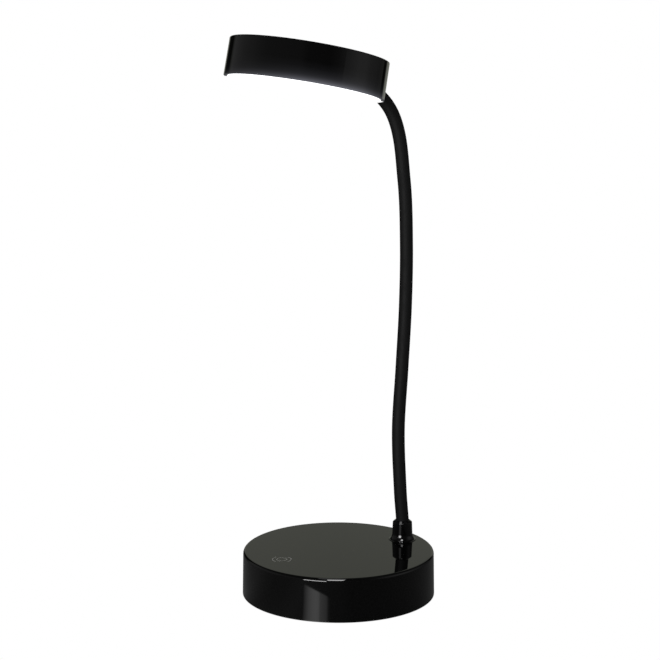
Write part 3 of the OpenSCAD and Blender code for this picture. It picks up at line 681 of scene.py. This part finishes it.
def carry_ring(bm, places, radii, sides):
    """Sweeps a ring through places with a radius at each, in an empty bmesh.

    Returns the edges of the first and the last ring.
    """
    sizes = [place @ Matrix.Scale(radius, 4) for place, radius in zip(places, radii)]
    bmesh.ops.create_circle(bm, segments=sides, radius=1, matrix=sizes[0])
    first = edges = bm.edges[:]
    for before, after in zip(sizes, sizes[1:]):
        grown = bmesh.ops.extrude_edge_only(bm, edges=edges)["geom"]
        edges = [item for item in grown if isinstance(item, bmesh.types.BMEdge)
                 and len(item.link_faces) == 1]
        bmesh.ops.transform(bm, matrix=after @ before.inverted(), verts=verts_of(grown))
    return first, edges


def verts_of(geom):
    """Returns the vertices of the geometry that an operator made."""
    return [item for item in geom if isinstance(item, bmesh.types.BMVert)]


def crisp(bm):
    """Keeps a bmesh's shading sharp across its sharp edges."""
    for edge in bm.edges:
        edge.smooth = edge.calc_face_angle(0) < SHARP_ANGLE


def tube(places, radii, bore, sides):
    """Returns a closed bmesh: a rod through places, or a tube where bore is above 0."""
    bm = bmesh.new()
    if bore > 0:
        there_and_back = places + places[::-1]
        both_radii = radii + [bore] * len(places)
        first, last = carry_ring(bm, there_and_back, both_radii, sides)
        bmesh.ops.bridge_loops(bm, edges=first + last)
    else:
        first, last = carry_ring(bm, places, radii, sides)
        for loop in (first, last):
            bmesh.ops.edgeloop_fill(bm, edges=loop)
    bmesh.ops.recalc_face_normals(bm, faces=bm.faces)
    crisp(bm)
    return bm


# ---------- neck ----------

NeckLine = namedtuple("NeckLine", "points splits entry")

SLEEVE_SIDES = 64
COIL_SIDES = 32
LEAD_SIDES = 24
LEAD_RINGS = 12
KNEE_STEPS = 4
CORNER_STEPS = 6
RINGS_PER_WINDING = 6
# how far each layer goes on inside the head
SLEEVE_PAST_WALL = 3 * MM
COIL_PAST_WALL = 5.45 * MM
LEAD_PAST_WALL = 13.3 * MM
# how far each lead socket lies from the middle, and the height of the lead's bends at its ends
SOCKET_INSET = 1.4 * MM
LEAD_BOW = 2.2 * MM
LEAD_DROP = 1.5 * MM
# how far behind the head's middle the lead is soldered, and how far behind that it bends down
SOLDER_PLACE = 29 * MM
LEAD_OVERHANG = 4.75 * MM


def curve(start, start_lean, end, end_lean, steps):
    """Returns points of the smooth curve between two leaning points, without the first."""
    reach = (end - start).length
    leave = leaning(start_lean) * reach
    arrive = leaning(end_lean) * reach
    points = []
    for step in range(1, steps + 1):
        t = step / steps
        points.append(
            start * (2 * t ** 3 - 3 * t ** 2 + 1) + leave * (t ** 3 - 2 * t ** 2 + t)
            + end * (3 * t ** 2 - 2 * t ** 3) + arrive * (t ** 3 - t ** 2))
    return points


def arc(start, start_lean, end_lean, radius, steps):
    """Returns points of a round bend that starts at start, without the first."""
    points = []
    for step in range(1, steps + 1):
        lean = start_lean + (end_lean - start_lean) * step / steps
        points.append(start + radius * Vector((
            0, math.cos(lean) - math.cos(start_lean), math.sin(lean) - math.sin(start_lean))))
    return points


def straight(start, end, steps):
    """Returns evenly spaced points from start to end, without the first."""
    return [start.lerp(end, step / steps) for step in range(1, steps + 1)]


def rounded(corners, steps):
    """Returns points of a line through the middles between corners, with each corner rounded."""
    points = [corners[0]]
    for before, corner, after in zip(corners, corners[1:], corners[2:]):
        start = before.lerp(corner, 0.5)
        end = corner.lerp(after, 0.5)
        for step in range(steps + 1):
            t = step / steps
            points.append(start.lerp(corner, t).lerp(corner.lerp(end, t), t))
    return points + [corners[-1]]


def neck_line(low, past_wall, rings):
    """Returns the neck's line, from the height low until past_wall beyond the head's wall.

    Its splits are the numbers of the points halfway between two bending points, and its entry
    is the number of the point in the head's wall.
    """
    sizes = bpy.context.scene.lamp_neck
    knee = sizes.knee_radius * math.tan(sizes.root_lean / 2)
    knee_start = FERRULE_TOP - Vector((0, 0, knee))
    knee_end = FERRULE_TOP + leaning(sizes.root_lean) * knee
    leans = []
    for before, after in zip([FERRULE_TOP] + PIVOTS, PIVOTS[1:]):
        rise = after - before
        leans.append(math.atan2(-rise.y, rise.z))
    leans.append(sizes.end_lean)
    foot = NECK_FOOT + Vector((0, 0, low))
    points = [foot] + straight(foot, knee_start, rings // 4)
    points += arc(knee_start, 0, sizes.root_lean, sizes.knee_radius, KNEE_STEPS)
    points += curve(knee_end, sizes.root_lean, PIVOTS[0], leans[0], rings // 2)
    splits = []
    for k in range(1, len(PIVOTS)):
        splits.append(len(points) - 1 + rings // 2)
        points += curve(PIVOTS[k - 1], leans[k - 1], PIVOTS[k], leans[k], rings)
    end_radius = STRETCH / 2 / (sizes.entry_lean - sizes.end_lean)
    points += arc(PIVOTS[-1], sizes.end_lean, sizes.entry_lean, end_radius, rings // 2)
    entry = len(points) - 1
    inside = points[-1] + leaning(sizes.entry_lean) * past_wall
    points += straight(points[-1], inside, rings // 4)
    return NeckLine(points, splits, entry)


def neck_layer(layer, slot, line, radii, bore, sides):
    """Makes one layer of the neck: a section round each joint."""
    places = along(line.points)
    starts = [0] + line.splits
    ends = line.splits + [len(places) - 1]
    for k, (start, end) in enumerate(zip(starts, ends)):
        bm = tube(places[start:end + 1], radii[start:end + 1], bore, sides)
        made = piece(f"{layer}_section_{k + 1}", bm, slot)
        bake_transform(made)
        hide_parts(f"neck_{layer}_{k + 1}")
    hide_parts(f"neck_{layer}_{len(JOINTS) + 1}")


class LAMP_OT_neck_sleeve(Operator):
    """Adds the satin black sleeve, in one section for each bending point"""

    bl_idname = "lamp.neck_sleeve"
    bl_label = "Neck Sleeve"

    def execute(self, context):
        sizes = context.scene.lamp_neck
        line = neck_line(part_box("neck_sleeve_1")[0].z, SLEEVE_PAST_WALL, sizes.rings)
        radius = sizes.sleeve_diameter / 2
        neck_layer("sleeve", "neck_sleeve", line, [radius] * len(line.points),
                   radius - sizes.sleeve_wall, SLEEVE_SIDES)
        return {"FINISHED"}


class LAMP_OT_neck_coil(Operator):
    """Adds the wound steel tube inside the sleeve, ribbed by its windings"""

    bl_idname = "lamp.neck_coil"
    bl_label = "Neck Coil"

    def execute(self, context):
        sizes = context.scene.lamp_neck
        rings = sizes.windings * RINGS_PER_WINDING
        line = neck_line(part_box("neck_coil_1")[0].z, COIL_PAST_WALL, rings)
        radius = sizes.coil_diameter / 2
        radii = []
        for number in range(len(line.points)):
            share = number % RINGS_PER_WINDING / RINGS_PER_WINDING
            radii.append(radius - sizes.coil_groove * (1 - math.sin(math.pi * share)))
        neck_layer("coil", "coil_steel", line, radii, radius - sizes.coil_wall, COIL_SIDES)
        return {"FINISHED"}


class LAMP_OT_neck_lead(Operator):
    """Adds the lead inside the coil, from its socket in the base to the LED board"""

    bl_idname = "lamp.neck_lead"
    bl_label = "Neck Lead"

    def execute(self, context):
        sizes = context.scene.lamp_neck
        radius = sizes.lead_diameter / 2
        line = neck_line(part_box("foot_stud")[0].z, LEAD_PAST_WALL, LEAD_RINGS)
        low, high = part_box("lead_sockets")
        socket = Vector(((low.x - SOCKET_INSET) / 2, middle("lead_sockets").y, high.z))
        root = rounded([
            socket, socket + Vector((0, 0, LEAD_BOW)),
            socket + Vector((0, 2 * radius, LEAD_BOW + radius / 2)),
            line.points[0] - Vector((0, 0, LEAD_DROP)), line.points[0]], CORNER_STEPS)[:-1]
        solder = Vector((0, SOLDER_PLACE, LED_BOARD_TOP))
        tip = TO_HEAD.inverted() @ line.points[-1]
        over = max(tip.z, LED_BOARD_TOP + LEAD_BOW - radius / 3)
        tail = rounded([
            line.points[-1], TO_HEAD @ Vector((0, SOLDER_PLACE + LEAD_OVERHANG, over + radius / 3)),
            TO_HEAD @ (solder + Vector((0, 0, LEAD_BOW - radius / 3))),
            TO_HEAD @ solder], CORNER_STEPS)[1:]
        shift = len(root)
        whole = NeckLine(root + line.points + tail, [split + shift for split in line.splits],
                         line.entry + shift)
        neck_layer("lead", "white_wire", whole, [radius] * len(whole.points), 0, LEAD_SIDES)
        return {"FINISHED"}


# ---------- base and ferrule ----------

FULL_TURN = 2 * math.pi
BASE_SIDES = 256
EDGE_STEPS = 24
HOLE_SIDES = 48
POST_SIDES = 32
RING_SIDES = 96
ARC_STEPS = 48
# how far a cut reaches past the solid that it opens
CUT_OVER = 1 * MM
# gap between the key's mark and its recess, and between the neck and the ferrule
MARK_GAP = 0.02 * MM
FERRULE_GAP = 0.1 * MM
FERRULE_SIDES = 72
FLARE_STEPS = 12
# the ferrule's edges are rounded where its faces turn by more than this
CORNER_ANGLE = math.radians(30)
ROUNDING_STEPS = 3


def quarter_turn(steps):
    """Returns the sine and cosine of evenly spaced angles from 0 to a quarter turn."""
    angles = [math.pi / 2 * step / steps for step in range(steps + 1)]
    return [(math.sin(turn), math.cos(turn)) for turn in angles]


def turned(bm, outline, centre, steps, start=0.0, span=FULL_TURN):
    """Turns an outline of (radius, height) points round the upright through centre.

    The outline closes on itself, unless it begins on the upright and ends there.
    """
    turn = Matrix.Rotation(start, 3, "Z")
    verts = [bm.verts.new(centre + turn @ Vector((radius, 0, z))) for radius, z in outline]
    pairs = list(zip(verts, verts[1:]))
    if outline[0][0] > 0:
        pairs.append((verts[-1], verts[0]))
    edges = [bm.edges.new(pair) for pair in pairs]
    whole = span >= FULL_TURN
    bmesh.ops.spin(bm, geom=verts + edges, cent=centre, axis=(0, 0, 1), angle=span, steps=steps,
                   use_merge=whole)
    if whole:
        bmesh.ops.remove_doubles(bm, verts=bm.verts, dist=TOUCHING)
    else:
        bmesh.ops.holes_fill(bm, edges=[edge for edge in bm.edges if edge.is_boundary])


def in_order(mesh):
    """Returns a bmesh of a mesh with its vertices and faces in the order of their places."""
    result = bmesh.new()
    verts = sorted(mesh.vertices, key=lambda vert: [round(axis, 6) for axis in vert.co])
    made = [result.verts.new(vert.co) for vert in verts]
    rank = {vert.index: place for place, vert in enumerate(verts)}
    loops = []
    for face in mesh.polygons:
        loop = [rank[index] for index in face.vertices]
        first = loop.index(min(loop))
        loops.append(loop[first:] + loop[:first])
    for loop in sorted(loops):
        result.faces.new([made[place] for place in loop])
    return result


def cut_away(bm, cuts):
    """Returns a bmesh with the solids of another one cut away, and frees both."""
    for solid in (bm, cuts):
        bmesh.ops.recalc_face_normals(solid, faces=solid.faces)
    case = add_mesh("case", bm)
    cutter = add_mesh("cuts", cuts)
    openings = case.modifiers.new("openings", "BOOLEAN")
    openings.object = cutter
    openings.operation = "DIFFERENCE"
    openings.solver = "EXACT"
    # the solver's order changes from run to run
    result = in_order(case.evaluated_get(bpy.context.evaluated_depsgraph_get()).data)
    # an object goes with its mesh
    for spent in (case, cutter):
        bpy.data.meshes.remove(spent.data)
    return result


def base_openings(sizes, top, wall_end):
    """Returns the solids that are cut out of the base's case: the key, the stud and the inlet."""
    cuts = bmesh.new()
    over = top + CUT_OVER
    key = middle("touch_mark")
    key_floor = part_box("touch_mark")[0].z
    arc_start = sizes.mark_turn - sizes.mark_span / 2
    for radius, start, span, steps in (
            (sizes.ring_radius, 0, FULL_TURN, RING_SIDES),
            (sizes.mark_radius, arc_start, sizes.mark_span, ARC_STEPS),
            (sizes.mark_radius, arc_start + math.pi, sizes.mark_span, ARC_STEPS)):
        outer = radius + MARK_GAP
        inner = radius - sizes.mark_line - MARK_GAP
        turned(cuts, [(inner, key_floor), (outer, key_floor), (outer, over), (inner, over)],
               Vector((key.x, key.y, 0)), steps, start, span)
    under = top - sizes.wall - CUT_OVER
    turned(cuts, [(0, under), (sizes.stud_hole, under), (sizes.stud_hole, over), (0, over)],
           NECK_FOOT, HOLE_SIDES)
    inlet_low, inlet_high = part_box("usb_receptacle")
    half_height = (inlet_high.z - inlet_low.z) / 2 + sizes.slot_gap
    stretch = (inlet_high.x - inlet_low.x) / 2 + sizes.slot_gap - half_height
    place = (Matrix.Translation((0, wall_end - CUT_OVER, middle("usb_receptacle").z))
             @ Matrix.Rotation(math.pi / 2, 4, "X"))
    rim = bmesh.ops.create_circle(cuts, cap_ends=True, segments=HOLE_SIDES, radius=half_height,
                                  matrix=place)["verts"]
    for side in (-1, 1):
        bmesh.ops.translate(cuts, verts=[vert for vert in rim if vert.co.x * side > TOUCHING],
                            vec=(side * stretch, 0, 0))
    cap = rim[0].link_faces[:]
    grown = bmesh.ops.extrude_face_region(cuts, geom=cap, use_keep_orig=True)["geom"]
    bmesh.ops.translate(cuts, verts=verts_of(grown), vec=(0, 2 * (sizes.wall + CUT_OVER), 0))
    return cuts


def add_base_case():
    """Turns the base's case from the CAD shell's box, and cuts its openings."""
    sizes = bpy.context.scene.lamp_base
    foot, top = (corner.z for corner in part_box("base_shell"))
    top_radius = BASE_RADIUS - (top - foot) * math.tan(sizes.draft)
    inner_radius = top_radius - sizes.wall
    ceiling = top - sizes.wall
    outline = [(0, top)]
    outline += [(top_radius - sizes.edge * (1 - sine), top - sizes.edge * (1 - cosine))
                for sine, cosine in quarter_turn(EDGE_STEPS)]
    outline += [(BASE_RADIUS, foot + sizes.lip), (BASE_RADIUS - sizes.lip, foot),
                (inner_radius, foot), (inner_radius, ceiling), (0, ceiling)]
    case = bmesh.new()
    turned(case, outline, Vector(), BASE_SIDES)
    bm = cut_away(case, base_openings(sizes, top, inner_radius))
    hole_end = sizes.post_foot + sizes.screw_depth
    post = [(0, hole_end), (sizes.screw_hole, hole_end), (sizes.screw_hole, sizes.post_foot),
            (sizes.post_radius, sizes.post_foot), (sizes.post_radius, ceiling), (0, ceiling)]
    for quarter in range(4):
        turn = Matrix.Rotation(math.pi / 4 + quarter * math.pi / 2, 3, "Z")
        turned(bm, post, turn @ Vector((inner_radius - sizes.post_inset, 0, 0)), POST_SIDES)
    bmesh.ops.recalc_face_normals(bm, faces=bm.faces)
    crisp(bm)
    made = piece("base_case", bm, "gloss_black")
    even = made.modifiers.new("even_faces", "WEIGHTED_NORMAL")
    even.keep_sharp = True
    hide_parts("base_shell")
    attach(made, BASE_BODY)


class LAMP_OT_base_case(Operator):
    """Adds the base's turned case, with its rounding, key recess and openings"""

    bl_idname = "lamp.base_case"
    bl_label = "Base Case"

    def execute(self, context):
        add_base_case()
        return {"FINISHED"}


def add_ferrule():
    """Turns the ferrule from the CAD ferrule's box, with its edges slightly rounded."""
    sizes = bpy.context.scene.lamp_ferrule
    low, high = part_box("neck_ferrule")
    foot, top = low.z, high.z
    foot_radius = (high.x - low.x) / 2
    bore = bpy.context.scene.lamp_neck.sleeve_diameter / 2 + FERRULE_GAP
    flare = foot_radius - sizes.body_radius
    flare_foot = foot + sizes.lip
    socket_top = foot + sizes.socket_height
    flange_top = foot + sizes.flange_height
    outline = [(foot_radius, foot)]
    outline += [(foot_radius - flare * sine, flare_foot + sizes.flare_height * (1 - cosine))
                for sine, cosine in quarter_turn(FLARE_STEPS)]
    outline += [(sizes.neck_radius, top - sizes.chamfer), (sizes.mouth_radius, top), (bore, top),
                (bore, socket_top), (sizes.socket_radius, socket_top),
                (sizes.socket_radius, flange_top), (sizes.flange_radius, flange_top),
                (sizes.flange_radius, foot)]
    bm = bmesh.new()
    turned(bm, outline, NECK_FOOT, FERRULE_SIDES)
    bmesh.ops.recalc_face_normals(bm, faces=bm.faces)
    corners = [edge for edge in bm.edges if edge.calc_face_angle(0) > CORNER_ANGLE]
    bmesh.ops.bevel(bm, geom=corners, offset=sizes.edge, affect="EDGES", segments=ROUNDING_STEPS,
                    profile=0.5, material=-1, clamp_overlap=True)
    made = piece("ferrule", bm, "gloss_black")
    made.modifiers.new("even_faces", "WEIGHTED_NORMAL").weight = 100
    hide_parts("neck_ferrule")
    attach(made, BASE_BODY)


class LAMP_OT_ferrule(Operator):
    """Adds the turned ferrule round the neck's foot"""

    bl_idname = "lamp.ferrule"
    bl_label = "Ferrule"

    def execute(self, context):
        add_ferrule()
        return {"FINISHED"}


class LAMP_OT_cad_finishes(Operator):
    """Gives each piece that comes from the frame the finish of its slot"""

    bl_idname = "lamp.cad_finishes"
    bl_label = "Base and Head Finishes"

    def execute(self, context):
        for part in frame["record"]["subparts"]:
            mesh = NODES[part["node"]].data
            mesh.materials.clear()
            mesh.materials.append(finish(part["material_slot"]))
        return {"FINISHED"}


# ---------- studio ----------

SENSOR_WIDTH = 36
# the place that the softboxes face
LIGHT_TARGET = (0, 0, 0.1)
# name, azimuth, height, distance, width, span upwards, radiance
SOFTBOXES = [
    ("low_strip", -26, 0.0775, 0.585, 0.266, 0.115, 16),
    ("high_strip", -26, 0.2125, 0.585, 0.266, 0.175, 1.4),
    ("overhead_softbox", -4, 1.0, 0.75, 0.33, 0.7, 10)]
FLOOR_SIDES = 96
# how far under the base's foot the contact shadow ends towards the camera, and how softly
SHADOW_INSET = 2.3 * MM
SHADOW_EDGE = 0.25 * MM
# brightness of the studio's panels by their azimuth
PANEL_LEVELS = [
    (-180, 0.25), (-162, 0.3), (-157, 0.008), (-139, 0.008), (-130, 0.15), (-110, 0.165),
    (-85, 0.165), (-60, 0.12), (-8, 0.1), (3, 0.065), (33, 0.055), (46, 0.09), (64, 0.25),
    (78, 0.31), (90, 0.28), (102, 0.17), (122, 0.08), (135, 0.065), (138, 0.008), (147, 0.008),
    (152, 0.35), (180, 0.25)]
# the panels dim between these heights in the sky, to this share
PANEL_TOPS = (math.radians(25), math.radians(50))
OVERHEAD_SHARE = 0.3
# tint of the panels beyond the lamp, between these shares of a direction that point there
FAR_TINT = (1.0, 1.03, 0.89)
FAR_SIDE = (-0.5, -0.95)
WHITE = (1, 1, 1)
# brightness of the floor in gloss by its azimuth round the lamp
FLOOR_GREYS = [
    (-180, 0.07), (-97, 0.09), (-86, 0.1), (-62, 0.07), (-48, 0.085), (-34, 0.12), (-12, 0.075),
    (3, 0.06), (11, 0.045), (40, 0.05), (80, 0.07), (180, 0.07)]
# the strip light's pool of light painted on the floor, seen only in gloss: a fan from PATCH_START,
# brightness by its angle in degrees
PATCH_AZIMUTH = -26
PATCH_START = Vector((28.6, -14.9, 0)) * MM
PATCH_REACH = 99 * MM
PATCH_SOFTNESS = 2 * MM
# how much farther the patch reaches for each degree
PATCH_SLANT = 1 * MM
PATCH_LEVELS = [(-15, 0), (-13.5, 0.22), (-11, 0.5), (-8.5, 0.8), (-4, 1.1), (0, 1.2), (3, 1.1),
                (5, 0.65), (10, 0.48), (12, 0.4), (14.5, 0.07), (17, 0)]


def add_floor(radius):
    """Adds the pale floor: white with a painted contact shadow, and grey in gloss with a painted
    pool of light.
    """
    bm = bmesh.new()
    bmesh.ops.create_circle(bm, cap_ends=True, segments=FLOOR_SIDES, radius=radius)
    floor = add_mesh("studio_floor", bm)
    material = bpy.data.materials.new("floor_white")
    material.use_nodes = True
    material.node_tree.nodes.clear()
    recipe = Recipe(material.node_tree)
    path = recipe.node("ShaderNodeLightPath")
    # in gloss the floor is grey, with the strip light's pool of light painted on it
    grey = recipe.math("ADD", floor_grey(recipe), painted_floor_pool(recipe))
    emission = recipe.node("ShaderNodeEmission")
    recipe.feed(emission, Color=recipe.blend(
        path.outputs["Is Glossy Ray"], floor_shadow(recipe), grey))
    # seen from below, the floor is clear
    seen = recipe.node("ShaderNodeMixShader")
    clear = recipe.node("ShaderNodeBsdfTransparent")
    below = recipe.node("ShaderNodeNewGeometry").outputs["Backfacing"]
    for socket, value in zip(seen.inputs, (below, emission.outputs[0], clear.outputs[0])):
        recipe.join(socket, value)
    recipe.feed(recipe.node("ShaderNodeOutputMaterial"), Surface=seen.outputs[0])
    floor.data.materials.append(material)


def floor_shadow(recipe):
    """Returns the floor's brightness to look at: dark under the base, and white outside it."""
    ahead, across = recipe.shares(recipe.place())
    front = BASE_RADIUS - SHADOW_INSET
    squeezed = recipe.math("MULTIPLY", across, front / BASE_RADIUS)
    reach = recipe.math("SQRT", recipe.math(
        "MULTIPLY_ADD", ahead, ahead, recipe.math("MULTIPLY", squeezed, squeezed)))
    return recipe.ramp(reach, front - SHADOW_EDGE, front + SHADOW_EDGE)


def floor_grey(recipe):
    """Returns how bright gloss sees the floor, by its azimuth round the lamp."""
    return recipe.profile(recipe.bearing(recipe.shares(recipe.place())), FLOOR_GREYS)


def painted_floor_pool(recipe):
    """Returns the strip light's pool of light painted on the floor, a fan with a slanting far edge.
    """
    outward = recipe.vector("SUBTRACT", recipe.place(), PATCH_START)
    turn = recipe.bearing(recipe.shares(outward, PATCH_AZIMUTH))
    reach = recipe.math("MULTIPLY_ADD", turn, PATCH_SLANT, recipe.measure(
        "DISTANCE", recipe.place(), PATCH_START))
    inside = recipe.ramp(reach, PATCH_REACH + PATCH_SOFTNESS, PATCH_REACH - PATCH_SOFTNESS)
    return recipe.math("MULTIPLY", recipe.profile(turn, PATCH_LEVELS), inside)


def aim(made, place, target):
    """Puts an object at a place, with its -Z towards target."""
    made.location = place
    made.rotation_euler = (Vector(target) - Vector(place)).to_track_quat("-Z", "Y").to_euler()


def softbox(name, azimuth, height, distance, width, span, radiance):
    """Adds a soft light that faces the lamp, and returns it."""
    light = bpy.data.lights.new(name, "AREA")
    light.shape = "RECTANGLE"
    light.size = width
    light.size_y = span
    light.energy = radiance * math.pi * width * span
    made = add_object(name, light)
    aim(made, heading(azimuth) * distance + Vector((0, 0, height)), LIGHT_TARGET)
    made.visible_camera = False
    return made


def studio_world():
    """Sets the world: white to look at, and in reflections a row of panels and dark flags."""
    world = bpy.data.worlds.new("studio_world")
    bpy.context.scene.world = world
    world.use_nodes = True
    recipe = Recipe(world.node_tree)
    direction = recipe.node("ShaderNodeTexCoord").outputs["Generated"]
    ahead, across = recipe.shares(direction)
    panels = recipe.profile(recipe.bearing((ahead, across)), PANEL_LEVELS)
    low, high = (math.sin(height) for height in PANEL_TOPS)
    overhead = recipe.ramp(recipe.split(direction)["Z"], low, high, 1.0, OVERHEAD_SHARE)
    far = recipe.ramp(ahead, *FAR_SIDE)
    tint = recipe.blend(far, colour(WHITE), colour(FAR_TINT))
    path = recipe.node("ShaderNodeLightPath")
    mirrored = recipe.scaled(tint, recipe.math("MULTIPLY", panels, overhead))
    recipe.feed(world.node_tree.nodes["Background"], Color=recipe.blend(
        path.outputs["Is Camera Ray"], mirrored, colour(WHITE)))


class LAMP_OT_stage(Operator):
    """Adds the camera, the pale floor, the softboxes and the world"""

    bl_idname = "lamp.stage"
    bl_label = "Studio"

    def execute(self, context):
        studio = context.scene.lamp_studio
        camera = bpy.data.cameras.new("studio_camera")
        camera.lens = studio.camera_lens
        camera.sensor_width = SENSOR_WIDTH
        holder = add_object("studio_camera", camera)
        place = Vector(studio.camera_location)
        aim(holder, place, place + Vector(studio.camera_direction))
        context.scene.camera = holder
        context.scene.view_settings.view_transform = "Standard"
        add_floor(studio.floor_radius)
        # the head is kept out of the softboxes' light
        shaded = bpy.data.collections.new("studio_shaded")
        shaded.objects.link(NODES["head_shell"])
        shaded.collection_objects[0].light_linking.link_state = "EXCLUDE"
        for values in SOFTBOXES:
            softbox(*values).light_linking.receiver_collection = shaded
        studio_world()
        return {"FINISHED"}


class LAMP_PT_panel(Panel):
    """Lists the lamp's operators and settings"""

    bl_label = "Desk Lamp"
    bl_idname = "LAMP_PT_panel"
    bl_space_type = "VIEW_3D"
    bl_region_type = "UI"
    bl_category = "Desk Lamp"

    def draw(self, context):
        column = self.layout.column(align=True)
        for operator in OPERATORS:
            column.operator(operator.bl_idname)
        for group in SETTINGS:
            settings = getattr(context.scene, group)
            box = self.layout.box()
            for name in settings.__annotations__:
                box.prop(settings, name)


SETTINGS = {"lamp_base": BaseSettings, "lamp_neck": NeckSettings, "lamp_ferrule": FerruleSettings,
            "lamp_finish": FinishSettings, "lamp_studio": StudioSettings}
OPERATORS = (LAMP_OT_base_case, LAMP_OT_neck_sleeve, LAMP_OT_neck_coil, LAMP_OT_neck_lead,
             LAMP_OT_ferrule, LAMP_OT_cad_finishes, LAMP_OT_stage)
CLASSES = (*SETTINGS.values(), *OPERATORS, LAMP_PT_panel)


def register():
    """Registers the settings, operators and panel."""
    for entry in CLASSES:
        bpy.utils.register_class(entry)
    for name, group in SETTINGS.items():
        setattr(bpy.types.Scene, name, PointerProperty(type=group))


def unregister():
    """Removes what register added."""
    for name in SETTINGS:
        delattr(bpy.types.Scene, name)
    for entry in reversed(CLASSES):
        bpy.utils.unregister_class(entry)


def main():
    """Builds the lamp's looks in order."""
    register()
    for make_effect in (grain_effect, handling_effect, dust_effect, drift_effect, lathe_effect):
        make_effect()
    for operator in OPERATORS:
        getattr(bpy.ops.lamp, operator.bl_idname.split(".")[1])()


if __name__ == "__main__":
    main()
